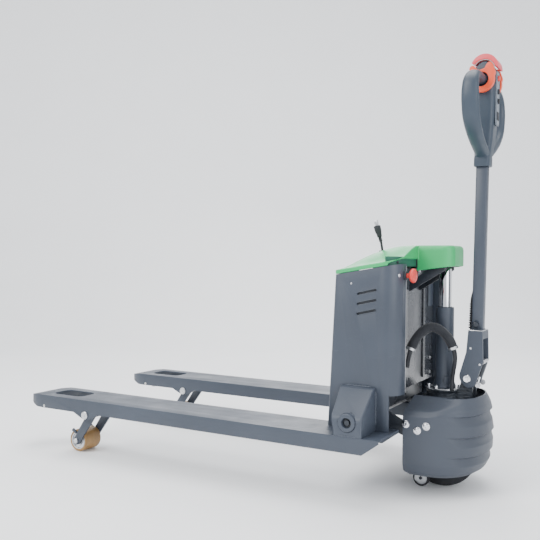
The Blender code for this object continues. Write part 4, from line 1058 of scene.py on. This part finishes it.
def make_hood():
    """The lid: two hollow forms joined, trimmed below along the seam, with the cord's hole."""
    wall, step, middle = 0.0036, 0.0008, TONGUE_HALF + 0.0002
    lid = cut(joined(hood_dome(0), tongue_solid(0)), joined(hood_dome(wall), tongue_solid(wall)))
    seam = [(-0.100, JOINT_Z + step), (JOINT_X, JOINT_Z + step), (0.122, joint_z(0.122) + step)]
    seam += [(0.1225, 0.641), (0.170, 0.664), (0.170, 0.500), (-0.100, 0.500)]
    under = [(-0.100, 0.648), (0.1235, 0.648), (0.1235, 0.617), (0.300, 0.641), (0.300, 0.5), (-0.1, 0.5)]
    lid = cut(
        lid,
        prism(seam, "Y", -0.300, -middle),
        prism(seam, "Y", middle, 0.300),
        prism(under, "Y", -middle, middle),
        rod(0.0078, "Z", (EXIT_X, EXIT_Y, 0.690), -0.040, 0.040),
    )
    lid = moulded_mesh(lid, 0.0016, 5, 0.35)
    piece("hood_shape", lid, "hood_green", "fork_frame", ("hood",), crease=60)
    make_hood_corners()
    place = Vector((EXIT_X - 0.0012, EXIT_Y, ridge_z(EXIT_X) - 0.0010))
    ring = [place + Vector((x, y, 0)) for x, y in circle(0.0068, 32, True)]
    piece("cord_grommet", tube(ring, 0.0022, 12), "black_rubber", "fork_frame")


def make_hood_corners():
    """The set-back cheek under each rear corner of the hood, in a darker green that paints the shade there,
    with its screw, and a thin black sheet that paints the slot's shadow.
    """
    cheeks, slot_shadows, screws = [], [], []
    for side in SIDES.values():
        low, high = span(side, 0.205, 0.2065)
        outline = [(0.060, joint_z(0.060) - 0.004), (0.1430, 0.6330), (0.1430, 0.6560), (0.1200, 0.6440)]
        cheeks.append(prism(outline, "Y", low, high))
        corner = arc(0.106, -0.194, 0.0405, -80, -2, 14) + [(0.1465, -0.130), (0.1465, -0.0725)]
        wall = band([(x, y * -side) for x, y in corner], 0.0014 * -side)
        cheeks.append(prism(wall, "Z", 0.6330, 0.6600))
        low, high = span(side, 0.0716, 0.0760)
        # a thin black sheet in the gap beside the tongue: the slot's painted shadow
        slot_shadows.append(eased(box((0.1472, low, 0.6300), (0.1500, high, 0.6780)), 0.0008, 2))
        angle = math.radians(30)
        spot = (0.106 + 0.0408 * math.cos(angle), side * (0.194 + 0.0408 * math.sin(angle)), 0.6440)
        screws.append(socket_screw(0.0030, 0.0022, (math.cos(angle), side * math.sin(angle), 0), spot))
    # the cheeks take the darker green: painted shade under the hood's rear corners
    piece("hood_cheeks", merged(*cheeks), "hood_green_painted_shade", "fork_frame")
    piece("hood_slot_shadows", merged(*slot_shadows), "black_rubber", "fork_frame")
    piece("hood_screws", merged(*screws), "black_steel", "fork_frame")


# ---------------------------------------------------------------- lift


def make_lift():
    """The bracket and its bolts, the rod, and the flared sleeve bolted to the casting's flange."""
    from_cad("lift_bracket", "black_steel", 0.0014, 3)
    bolts = []
    for y in (-0.030, 0.030):
        bolts.append(hex_bolt(0.0062, 0.0048, (1, 0, 0), (PANEL_X + SHEET + 0.0002, y, 0.6185)))
    piece("bracket_bolts", merged(*bolts), "bright_steel", "fork_frame")
    axis = (STEER_X, 0, 0)
    stem = [(0, 0.4330), (0.0176, 0.4330), (0.0179, 0.4350), (0.0179, 0.6280), (0.0160, 0.6312)]
    stem += [(0, 0.6312)]
    spun("piston_rod_shape", stem, "Z", axis, 80, "chrome_steel", "fork_frame", ("piston_rod",))
    barrel = [(0.0195, 0.2826), (0.0328, 0.2826), (0.0330, 0.2880), (0.0292, 0.2985), (0.0268, 0.3050)]
    barrel += [(0.0262, 0.3120), (0.0260, 0.4985), (0.0260, 0.5120), (0.0252, 0.5150), (0.0215, 0.5152)]
    barrel += [(0.0205, 0.5135), (0.0192, 0.5135), (0.0192, 0.3200), (0.0195, 0.3190)]
    spun("lift_cylinder_shape", barrel, "Z", axis, 96, "frame_paint", "drive_head", ("lift_cylinder",))
    wiper = [(0.0183, 0.5132), (0.0208, 0.5132), (0.0210, 0.5158), (0.0196, 0.5166), (0.0184, 0.5150)]
    spun("rod_wiper", wiper, "Z", axis, 64, "black_rubber", "drive_head")
    key = rounded([(-0.0085, 0.2835), (0.0085, 0.2835), (0.0075, 0.3155), (-0.0075, 0.3155)], 0.0015, 4)
    key = prism(key, "Y", 0.0258, 0.0308)
    key.transform(Matrix.Translation(axis) @ Matrix.Rotation(math.radians(-150), 4, "Z"))
    piece("cylinder_key", eased(key, 0.0008, 2), "frame_paint", "drive_head")
    studs = []
    for x, y in arc(STEER_X, 0, 0.0435, 15, 315, 5):
        studs.append(socket_screw(0.0058, 0.0080, (0, 0, 1), (x, y, 0.2830)))
    piece("flange_bolts", merged(*studs), "chrome_steel", "drive_head")


def make_casting():
    """The turning centre, lumpy from the sand mould, with the tiller's lugs and a steel flange."""
    profile = [(0, 0.2262), (0.0538, 0.2262), (0.0538, 0.2404), (0.0636, 0.2404), (0.0640, 0.2420)]
    profile += [(0.0640, 0.2530), (0.0620, 0.2556), (0.0530, 0.2580), (0.0504, 0.2600), (0.0500, 0.2640)]
    profile += [(0.0500, 0.2720), (0.0512, 0.2748), (0.0530, 0.2762), (0.0534, 0.2780), (0.0530, 0.2800)]
    profile += [(0, 0.2800)]
    body = turned(profile, "Z", (STEER_X, 0, 0), 96)
    for side in SIDES.values():
        low, high = span(side, 0.017, 0.0274)
        lug = [(0.2450, 0.2460), (0.2950, 0.2460), (0.3010, TILLER_Z), (0.2800, 0.3320), (0.2690, 0.3200)]
        lug += [(0.2620, 0.2860), (0.2450, 0.2818)]
        lug = prism(rounded(lug, [0, 0.004, 0.012, 0.012, 0.010, 0.006, 0], 6), "Y", low, high)
        body = joined(body, lug)
    body = cut(body, rod(0.0086, "Y", (TILLER_X, 0, TILLER_Z), -0.1, 0.1))
    body = eased(body, 0.0012, 3, 32)
    piece("steering_casting_shape", body, "cast_iron", "drive_head", ("steering_casting",))
    plate = [(0.0334, 0.2803), (0.0528, 0.2803), (0.0532, 0.2812), (0.0528, 0.2826), (0.0334, 0.2826)]
    spun("flange_plate", plate, "Z", (STEER_X, 0, 0), 96, "bright_steel", "drive_head")


# ---------------------------------------------------------------- drive end

COVER_LEVELS = (  # height, front edge, half width, rear end
    (0.056, 0.150, 0.150, 0.312),
    (0.066, 0.146, 0.165, 0.327),
    (0.090, 0.145, 0.1705, 0.339),
    (0.125, 0.145, 0.1710, 0.343),
    (0.160, 0.145, 0.1710, 0.346),
    (0.195, 0.145, 0.1710, 0.342),
    (0.222, 0.145, 0.1705, 0.336),
    (0.236, 0.147, 0.1600, 0.331),
    (0.254, 0.152, 0.1300, 0.323),
    (0.270, 0.157, 0.1080, 0.314),
)
GILLS = (0.226, 0.170, 0.115)  # heights of their upper lips
GILLS_FROM, GILLS_FADE = 0.258, 0.050  # where they begin, and how far they take to reach full depth
SHOULDER = 0.195  # height where the cover starts to close in
COVER_WALL = 0.0035


def cover_at(z):
    """Front edge, half width and rear end of the cover at a height."""
    z = min(max(z, COVER_LEVELS[0][0]), COVER_LEVELS[-1][0])
    for low, high in zip(COVER_LEVELS, COVER_LEVELS[1:]):
        if z <= high[0]:
            share = (z - low[0]) / (high[0] - low[0])
            return [a + (b - a) * share for a, b in zip(low[1:], high[1:])]
    return list(COVER_LEVELS[-1][1:])


def smooth_step(value):
    value = min(max(value, 0), 1)
    return value * value * (3 - 2 * value)


def gill_depth(z, along):
    """How far the surface is pressed in at a height: a sharp upper lip over a fading hollow."""
    total = 0.0
    for crest in GILLS:
        reach = 0.004 + 0.024 * along
        below = (crest - z) / reach
        if 0 < below < 1:
            total += 0.0075 * along * min(1.0, below / 0.16) * (1 - below) ** 0.8
        elif -1.2 < below <= 0:
            total -= 0.0018 * along * (1 + below / 1.2)
    return total


def make_cover():
    """The moulded cover, with a shoulder that climbs to the rim behind and three pressed gills."""
    levels, count = 110, 72
    bottom, top = COVER_LEVELS[0][0], COVER_LEVELS[-1][0]
    rows = []
    for step in range(levels + 1):
        z = bottom + (top - bottom) * step / levels
        edge, side_y, _ = cover_at(z)
        flat = (edge, edge + 0.018, edge + 0.035)
        row = [(x, -side_y) for x in flat]
        for i in range(count + 1):
            turn = math.radians(-90 + 180 * i / count)
            spread = math.cos(turn) if 0 < i < count else 0.0
            climb = 0.022 * smooth_step(spread * 1.25) * smooth_step((z - SHOULDER) / 0.035)
            front, half, rear = cover_at(z - climb)
            start = front + 0.050
            x = start + (rear - start) * spread**0.85
            y = half * math.copysign(abs(math.sin(turn)) ** 0.90, turn)
            normal = Vector((spread, math.sin(turn) * 0.9)).normalized()
            press = gill_depth(z, smooth_step((x - GILLS_FROM) / GILLS_FADE))
            row.append((x - normal.x * press, y - normal.y * press))
        row += [(x, side_y) for x in reversed(flat)]
        rows.append([(x, y, z) for x, y in band(row, COVER_WALL)])
    shell = lofted(rows)
    chamfer = [(0.100, 0.040), (0.161, 0.040), (0.161, 0.0555), (0.1445, 0.0720), (0.100, 0.0720)]
    shell = cut(shell, prism(chamfer, "Y", -0.20, 0.20))
    piece("drive_cover_shape", shell, "cover_plastic", "chassis", ("drive_cover",), crease=50)
    bolts = []
    for side in SIDES.values():
        for x, z in ((0.154, 0.199), (0.187, 0.185), (0.212, 0.199)):
            bolts.append(socket_screw(0.0084, 0.0052, (0, side, 0), (x, side * 0.1712, z)))
    piece("cover_bolts", merged(*bolts), "chrome_steel", "chassis")
    from_cad("chassis_frame", "black_steel", 0.0012, 3)


def make_drive_wheel():
    """The grooved tyre on its hub motor, and the balance rollers in front of it."""
    from_cad("drive_fork", "black_steel", 0.0012, 2)
    centre = (STEER_X, 0, HUB_Z)
    outer, half = 0.1048, 0.0298
    tyre = [(0.0786, -half + 0.0020), (0.0950, -half), (outer - 0.004, -half + 0.0012)]
    tyre += [(outer - 0.0008, -half + 0.0046), (outer, -half + 0.0075)]
    for groove in (-0.012, 0.0, 0.012):
        tyre += [(outer, groove - 0.0016), (outer - 0.0018, groove - 0.0010)]
        tyre += [(outer - 0.0018, groove + 0.0010), (outer, groove + 0.0016)]
    tyre += [(outer, half - 0.0075), (outer - 0.0008, half - 0.0046), (outer - 0.004, half - 0.0012)]
    tyre += [(0.0950, half), (0.0786, half - 0.0020)]
    spun("drive_tyre_shape", tyre, "Y", centre, 128, "black_rubber", "drive_wheel", ("drive_tyre",))
    hub = [(0, -0.0390), (0.0092, -0.0390), (0.0100, -0.0382), (0.0100, -0.0300), (0.0240, -0.0305)]
    hub += [(0.0260, -0.0285), (0.0560, -0.0270), (0.0580, -0.0285), (0.0740, -0.0285), (0.0780, -0.0260)]
    spun("hub_motor_shape", mirrored(hub), "Y", centre, 96, "bright_steel", "drive_wheel", ("hub_motor",))
    ring = []
    for side in SIDES.values():
        for x, z in circle(0.066, 8):
            spot = (STEER_X + x, side * 0.0282, HUB_Z + z)
            ring.append(socket_screw(0.0036, 0.0030, (0, side, 0), spot, 16))
    piece("hub_screws", merged(*ring), "black_steel", "drive_wheel")
    tread = [(0.0186, -0.0076), (0.0215, -0.0088), (0.0232, -0.0080), (0.0239, -0.0055)]
    core = [(0.0049, -0.0088), (0.0090, -0.0088), (0.0098, -0.0060), (0.0165, -0.0060), (0.0185, -0.0082)]
    for side_name, side in SIDES.items():
        node = f"balance_roller_{side_name}"
        spot = (CASTOR_X, side * CASTOR_Y, CASTOR_Z)
        spun(f"{node}_tread", mirrored(tread), "Y", spot, 72, "black_rubber", node, (node,))
        spun(f"{node}_hub", mirrored(core), "Y", spot, 48, "bright_steel", node)


# ---------------------------------------------------------------- cable harness

SLEEVE_RADIUS, CLAMP_RADIUS, LEAD_RADIUS = 0.0135, 0.0146, 0.0044
HARNESS = (  # from the rear panel up, over and down to the drive head
    (0.1350, -0.112, 0.350),
    (0.1365, -0.104, 0.376),
    (0.1430, -0.096, 0.404),
    (0.1620, -0.084, 0.440),
    (0.1900, -0.072, 0.4600),
    (0.2170, -0.064, 0.4520),
    (0.2400, -0.056, 0.4260),
    (0.2510, -0.050, 0.3960),
    (0.2530, -0.044, 0.3700),
    (0.2480, -0.038, 0.3450),
)


def make_harness():
    """The braided sleeve over the loop, steel clamps near its ends, and the bare cables beyond."""
    route = smooth_path(HARNESS, 200)
    first, middle, last = 38, 96, 150  # the sleeve's ends and its middle along the route

    def braid(i, angle):
        strands = math.sin(i * 1.1 + angle * 3) * math.sin(i * 1.1 - angle * 3)
        return 1 + 0.022 * strands + 0.03 * math.sin(i * 0.21)

    def clamp(start):
        rim = (1, 4)
        path = route[start : start + 6]
        return tube(path, CLAMP_RADIUS, 28, lambda i, a: 1.02 if i in rim else 1.0)

    halves = {
        "harness_body_half": (route[first : middle + 1], "fork_frame", "chassis"),
        "harness_head_half": (route[middle : last + 1], "chassis", "drive_head"),
    }
    for node, (path, near, far) in halves.items():
        mesh = tube(path, SLEEVE_RADIUS, 28, braid)
        make_bend(f"{node}_sleeve", mesh, "woven_sleeve", near, far, path[0], path[-1], (node,))
    lead = smooth_path([tuple(route[-1]), (0.2440, -0.036, 0.3180), (0.2440, -0.040, 0.2840)], 12)[1:]
    piece("harness_clamp_body", clamp(first - 1), "bright_steel", "fork_frame")
    piece("harness_clamp_head", clamp(last - 4), "bright_steel", "drive_head")
    for name, path, body in (
        ("harness_tail_body", route[: first + 2], "fork_frame"),
        ("harness_tail_head", route[last - 2 :] + lead, "drive_head"),
    ):
        strands = []
        for k in range(4):
            turn = 2 * math.pi * k / 4 + 0.6
            offset = Vector((0.2, math.cos(turn), math.sin(turn))) * 0.0052
            strands.append(tube([point + offset for point in path], LEAD_RADIUS, 12))
        piece(name, merged(*strands), "black_rubber", body)


def make_bend(name, mesh, look, near, far, start, end, replaces):
    """A piece that bends between two bodies."""
    shift = Vector((HEEL_X, 0, 0))
    mesh.transform(Matrix.Translation(shift))
    mesh.materials.append(LOOKS[look])
    mesh.shade_smooth()
    obj = linked(name, mesh)
    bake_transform(obj, near, far, start=tuple(start + shift), end=tuple(end + shift))
    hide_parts(*replaces)


# ---------------------------------------------------------------- tiller

TUBE_X, TUBE_LOW, TUBE_TOP = 0.3062, 0.4545, 0.9165
TILLER_LEAN = math.radians(0.9)


def leaning(x, z):
    """x carried up the leaning tube to a height."""
    return x + (z - TUBE_LOW) * math.tan(TILLER_LEAN)


def make_tiller():
    """The folded base on its pin, with the tube welded into its top."""
    from_cad("tiller_base", "frame_paint", 0.0026, 4)
    from_cad("tiller_tube", "frame_paint", 0.0008, 2)
    head = [(0, 0), (0.0108, 0), (0.0108, 0.0018), (0.0094, 0.0034), (0.0050, 0.0036), (0.0040, 0.0026)]
    pin = headed_pin(head + [(0, 0.0026)], 0.0079, (TILLER_X, 0, TILLER_Z), 0.0363, 48)
    piece("tiller_pin_shape", pin, "chrome_steel", "tiller", ("tiller_pin",))
    corners = rectangle((-0.0160, -0.0150), (0.0160, 0.0150))
    seam = [Vector((TUBE_X + x, y, 0.4552)) for x, y in corners + corners[:1]]
    edge = []
    for a, b in zip(seam, seam[1:]):
        edge += [a.lerp(b, share) for share in (0.08, 0.35, 0.65, 0.92)]
    piece("tube_weld", weld_bead(edge + [edge[0]], 0.0022, 5), "frame_paint", "tiller")
    rim = rounded(rectangle((0.2880, -0.0350), (0.3255, 0.0350)), 0.003, 4)
    rim = [Vector((x, y, 0.4540)) for x, y in rim]
    piece("base_rim", tube(rim + [rim[0]], 0.0012, 8), "bright_steel", "tiller")
    make_gas_spring()
    make_tiller_fittings()


def make_gas_spring():
    """The spring that raises the tiller, slanting from the base's rear down into the drive head."""
    high, low = Vector((0.3240, 0, 0.3650)), Vector((0.3040, 0, 0.2950))
    middle = high.lerp(low, 0.62)
    body = tube([high, high.lerp(middle, 0.5), middle], 0.0080, 28)
    piston = tube([middle, middle.lerp(low, 0.5), low], 0.0040, 20)
    piece("gas_spring_body", body, "black_steel", "tiller", crease=50)
    piece("gas_spring_rod", piston, "chrome_steel", "tiller", crease=50)
    eyes = [rod(0.0065, "Y", high, -0.0270, 0.0270, 32)]
    for side in (-1, 1):
        eyes.append(hex_bolt(0.0060, 0.0050, (0, side, 0), (low.x + 0.010, side * 0.0285, low.z + 0.006)))
    piece("gas_spring_eyes", merged(*eyes), "bright_steel", "tiller")


def make_tiller_fittings():
    """The side knob and screws of the base, and the spiral wrap round the cable on the tube."""
    knob = [(0, 0), (0.0075, 0), (0.0088, 0.0020), (0.0090, 0.0070), (0.0080, 0.0100), (0.0055, 0.0116)]
    knob += [(0, 0.0120)]
    mesh = turned(knob, "Z", (0, 0, 0), 40)
    mesh.transform(Matrix.Translation((0.3035, -0.0150, 0.4700)) @ axis_matrix((0, -1, 0)))
    piece("tube_knob", mesh, "black_steel", "tiller")
    screws = []
    for side in SIDES.values():
        for x, z in ((0.2945, 0.4040), (0.3205, 0.3600)):
            screws.append(socket_screw(0.0026, 0.0022, (0, side, 0), (x, side * 0.0360, z)))
    piece("base_screws", merged(*screws), "chrome_steel", "tiller")
    low, high, turns, away = 0.4560, 0.5300, 11, 0.0205
    steps = turns * 16
    path = []
    for i in range(steps + 1):
        share = i / steps
        angle = 2 * math.pi * turns * share
        z = low + (high - low) * share
        radius = 0.0058 * (1 - 0.35 * share)
        x = leaning(TUBE_X, z) - away + radius * math.cos(angle)
        path.append(Vector((x, radius * math.sin(angle), z)))
    cable = [Vector((leaning(TUBE_X, z) - away, 0, z)) for z in (0.4500, 0.4800, 0.5150, 0.5400)]
    cable += [Vector((leaning(TUBE_X, 0.560) - 0.0165, 0, 0.5600))]
    cable += [Vector((leaning(TUBE_X, 0.575) - 0.0140, 0, 0.5740))]
    wrap = merged(tube(path, 0.0020, 8), tube(smooth_path(cable, 24), 0.0034, 14))
    piece("cable_wrap", wrap, "black_rubber", "tiller", crease=60)


# ---------------------------------------------------------------- control head

HEAD_LEVELS = (  # height, front, rear, half width
    (0.9170, 0.2950, 0.3350, 0.0220),
    (0.9450, 0.2930, 0.3370, 0.0240),
    (0.9900, 0.2900, 0.3440, 0.0280),
    (1.0500, 0.2870, 0.3490, 0.0330),
    (1.1100, 0.2850, 0.3500, 0.0360),
    (1.1600, 0.2840, 0.3500, 0.0370),
    (1.1830, 0.2870, 0.3500, 0.0362),
    (1.1890, 0.2900, 0.3430, 0.0355),
    (1.1960, 0.2975, 0.3420, 0.0340),
    (1.2050, 0.3065, 0.3340, 0.0310),
    (1.2080, 0.3160, 0.3260, 0.0270),
)
LOOP_PATH = (  # outwards, height, depth of the grip
    (0.018, 0.952, 0.0200),
    (0.045, 0.964, 0.0205),
    (0.085, 0.984, 0.0215),
    (0.118, 1.006, 0.0225),
    (0.145, 1.036, 0.0235),
    (0.157, 1.072, 0.0235),
    (0.158, 1.100, 0.0232),
    (0.152, 1.128, 0.0215),
    (0.132, 1.147, 0.0190),
    (0.100, 1.1540, 0.0175),
    (0.070, 1.1535, 0.0170),
    (0.030, 1.1530, 0.0160),
)


def grip_loop(side):
    """One grip: a deep oval section swept from the neck out and round to the throttle's hub."""
    path = smooth_path([Vector((side * y, z, depth)) for y, z, depth in LOOP_PATH], 72)
    loops = []
    for i, here in enumerate(path):
        ahead = path[min(i + 1, len(path) - 1)] - path[max(i - 1, 0)]
        heading = Vector((ahead.x, ahead.y)).normalized()
        across = Vector((-heading.y, heading.x))
        loop = []
        for k in range(28):
            turn = 2 * math.pi * k / 28
            spread = across * (0.0128 * math.copysign(abs(math.sin(turn)) ** 0.85, math.sin(turn)))
            x = THROTTLE_X - 0.002 + here.z * math.copysign(abs(math.cos(turn)) ** 0.85, math.cos(turn))
            loop.append((x, here.x + spread.x, here.y + spread.y))
        loops.append(loop)
    return lofted(loops)


def make_head():
    """The moulded head with its two grips, the collar on the tube, and the controls."""
    loops = []
    for z, front, rear, half in HEAD_LEVELS:
        plan = rounded(rectangle((front, -half), (rear, half)), min(half, 0.016) * 0.8, 8)
        loops.append([(x, y, z) for x, y in plan])
    head = lofted(loops)
    for side in SIDES.values():
        head = joined(head, grip_loop(side))
    head = moulded_mesh(head, 0.0017, 6, 0.4)
    piece("control_head_shape", head, "head_plastic", "tiller", ("control_head",), crease=60)
    collar = rounded(rectangle((-0.0215, -0.0225), (0.0215, 0.0225)), 0.008, 8)
    loops = []
    for z, scale in ((0.9168, 0.97), (0.9200, 1.03), (0.9420, 1.02), (0.9460, 0.99)):
        loops.append([(leaning(TUBE_X, z) + 0.0006 + x * scale, y * scale * 1.04, z) for x, y in collar])
    piece("head_collar", lofted(loops), "head_plastic", "tiller")
    make_throttle()
    make_cap()
    make_panel()


def make_throttle():
    """The two butterfly levers, each hooked round the inner end of its grip."""
    x, z = THROTTLE_X, THROTTLE_Z
    hook = arc(x, z, 0.0355, -130, 10, 36)
    stem = [(0.3562, 1.1700), (0.3520, 1.1830), (0.3470, 1.1955)]
    stem += [(0.3400, 1.1985), (0.3335, 1.1940), (0.3275, 1.1830)]
    lobe = [(0.3150, 1.1790), (0.3060, 1.1830), (0.2975, 1.1925)]
    lobe += [(0.2890, 1.1915), (0.2855, 1.1835), (0.2900, 1.1740)]
    outline = hook + smooth_curve(stem) + smooth_curve(lobe)
    for side_name, side in SIDES.items():
        paddle = prism(outline, "Y", *span(side, 0.0385, 0.0520))
        paddle = cut(paddle, rod(0.0200, "Y", (x, 0, z), *span(side, 0.030, 0.060), 64))
        node = f"throttle_{side_name}"
        piece(f"{node}_shape", eased(paddle, 0.0034, 4, 40), "throttle_orange", "throttle", (node,))


def smooth_curve(points):
    """The outline through a few points, drawn smooth."""
    return [(p.x, p.y) for p in smooth_path([(x, z, 0) for x, z in points], 4 * len(points))]


def make_cap():
    """The red safety cap over the top, with a pale gasket line round its lower edge."""
    outer, inner = (0.3210, 1.1910, 0.0378), (0.3205, 1.1815, 0.0318)
    cap = prism(arc(*outer, -5, 157, 56) + arc(*inner, 143, 14, 56), "Y", -0.031, 0.031)
    node = "belly_button"
    piece(f"{node}_shape", eased(cap, 0.0030, 4, 40), "cap_red", node, (node,))
    line = arc(*inner[:2], inner[2] - 0.0010, 144, 13, 40)
    gaskets = [tube([Vector((x, y, z)) for x, z in line], 0.0011, 8) for y in (-0.0285, 0.0285)]
    piece("cap_gasket", merged(*gaskets), "pale_nylon", "belly_button")


def make_panel():
    """The operator's panel: raised frame, keys with rims, a display window and the horn."""
    face = 0.3503
    from_cad("control_panel", "panel_grey", 0.0007, 2)
    border = rounded(rectangle((-0.0186, 1.0315), (0.0186, 1.1810)), 0.009, 10)
    border = [Vector((face + 0.0030, y, z)) for y, z in border]
    piece("panel_border", tube(border + [border[0]], 0.0008, 8), "head_plastic", "tiller")
    window = rounded(rectangle((-0.0125, 1.0440), (0.0125, 1.0680)), 0.003, 6)
    window = prism(window, "X", face + 0.0028, face + 0.0037)
    piece("charge_window", eased(window, 0.0004, 2), "black_rubber", "tiller")
    for node, look, radius, top in (
        ("horn_button", "signal_red", 0.0075, 0.0061),
        ("lift_button", "black_rubber", 0.0070, 0.0050),
        ("lower_button", "black_rubber", 0.0070, 0.0050),
    ):
        low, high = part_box(node)
        z = (low.z + high.z) / 2
        profile = [(0, 0), (radius, 0), (radius, top - 0.0016), (radius - 0.0006, top - 0.0006)]
        profile += [(radius - 0.0018, top - 0.0001), (radius * 0.5, top), (0, top - 0.0003)]
        spun(f"{node}_shape", profile, "X", (face + 0.0026, 0, z), 48, look, node, (node,))
        ring = [Vector((face + 0.0030, y, z + rise)) for y, rise in circle(radius + 0.0013, 40, True)]
        piece(f"{node}_rim", tube(ring, 0.0006, 8), "head_plastic", "tiller")


def make_estop():
    """The mushroom button, flared and dished, in its threaded collar."""
    centre = (POST_X, ESTOP_Y, ESTOP_Z)
    collar = [(0.0068, -0.0040), (0.0078, -0.0118), (0.0078, 0.0003), (0.0124, 0.0003), (0.0125, 0.0015)]
    for k in range(3):
        collar += [(0.0125, 0.0020 + 0.0014 * k), (0.0121, 0.0027 + 0.0014 * k)]
    collar += [(0.0122, 0.0066), (0.0116, 0.0070), (0.0068, 0.0070)]
    spun("estop_collar_shape", collar, "X", centre, 48, "black_steel", "fork_frame", ("estop_collar",))
    knob = [(0, 0.0020), (0.0060, 0.0020), (0.0060, 0.0112), (0.0074, 0.0124), (0.0098, 0.0145)]
    knob += [(0.0130, 0.0164), (0.0165, 0.0185), (0.0186, 0.0210), (0.0195, 0.0240), (0.0192, 0.0268)]
    knob += [(0.0178, 0.0292), (0.0145, 0.0312), (0.0095, 0.0324), (0.0040, 0.0329), (0, 0.0330)]
    spun("estop_button_shape", knob, "X", centre, 72, "signal_red", "estop_button", ("estop_button",))


def make_inner_units():
    """The rocker, and what the body holds."""
    from_cad("rocker", "black_steel", 0.0010, 2)
    from_cad("battery", "cell_blue", 0.0050, 4)
    from_cad("charger", "black_steel", 0.0030, 3)
    from_cad("controller", "bright_steel", 0.0015, 2)


def main():
    make_camera()
    make_cord()
    make_stage()
    make_forks()
    make_body()
    make_hood()
    make_lift()
    make_casting()
    make_cover()
    make_drive_wheel()
    make_harness()
    make_tiller()
    make_head()
    make_estop()
    make_inner_units()


main()
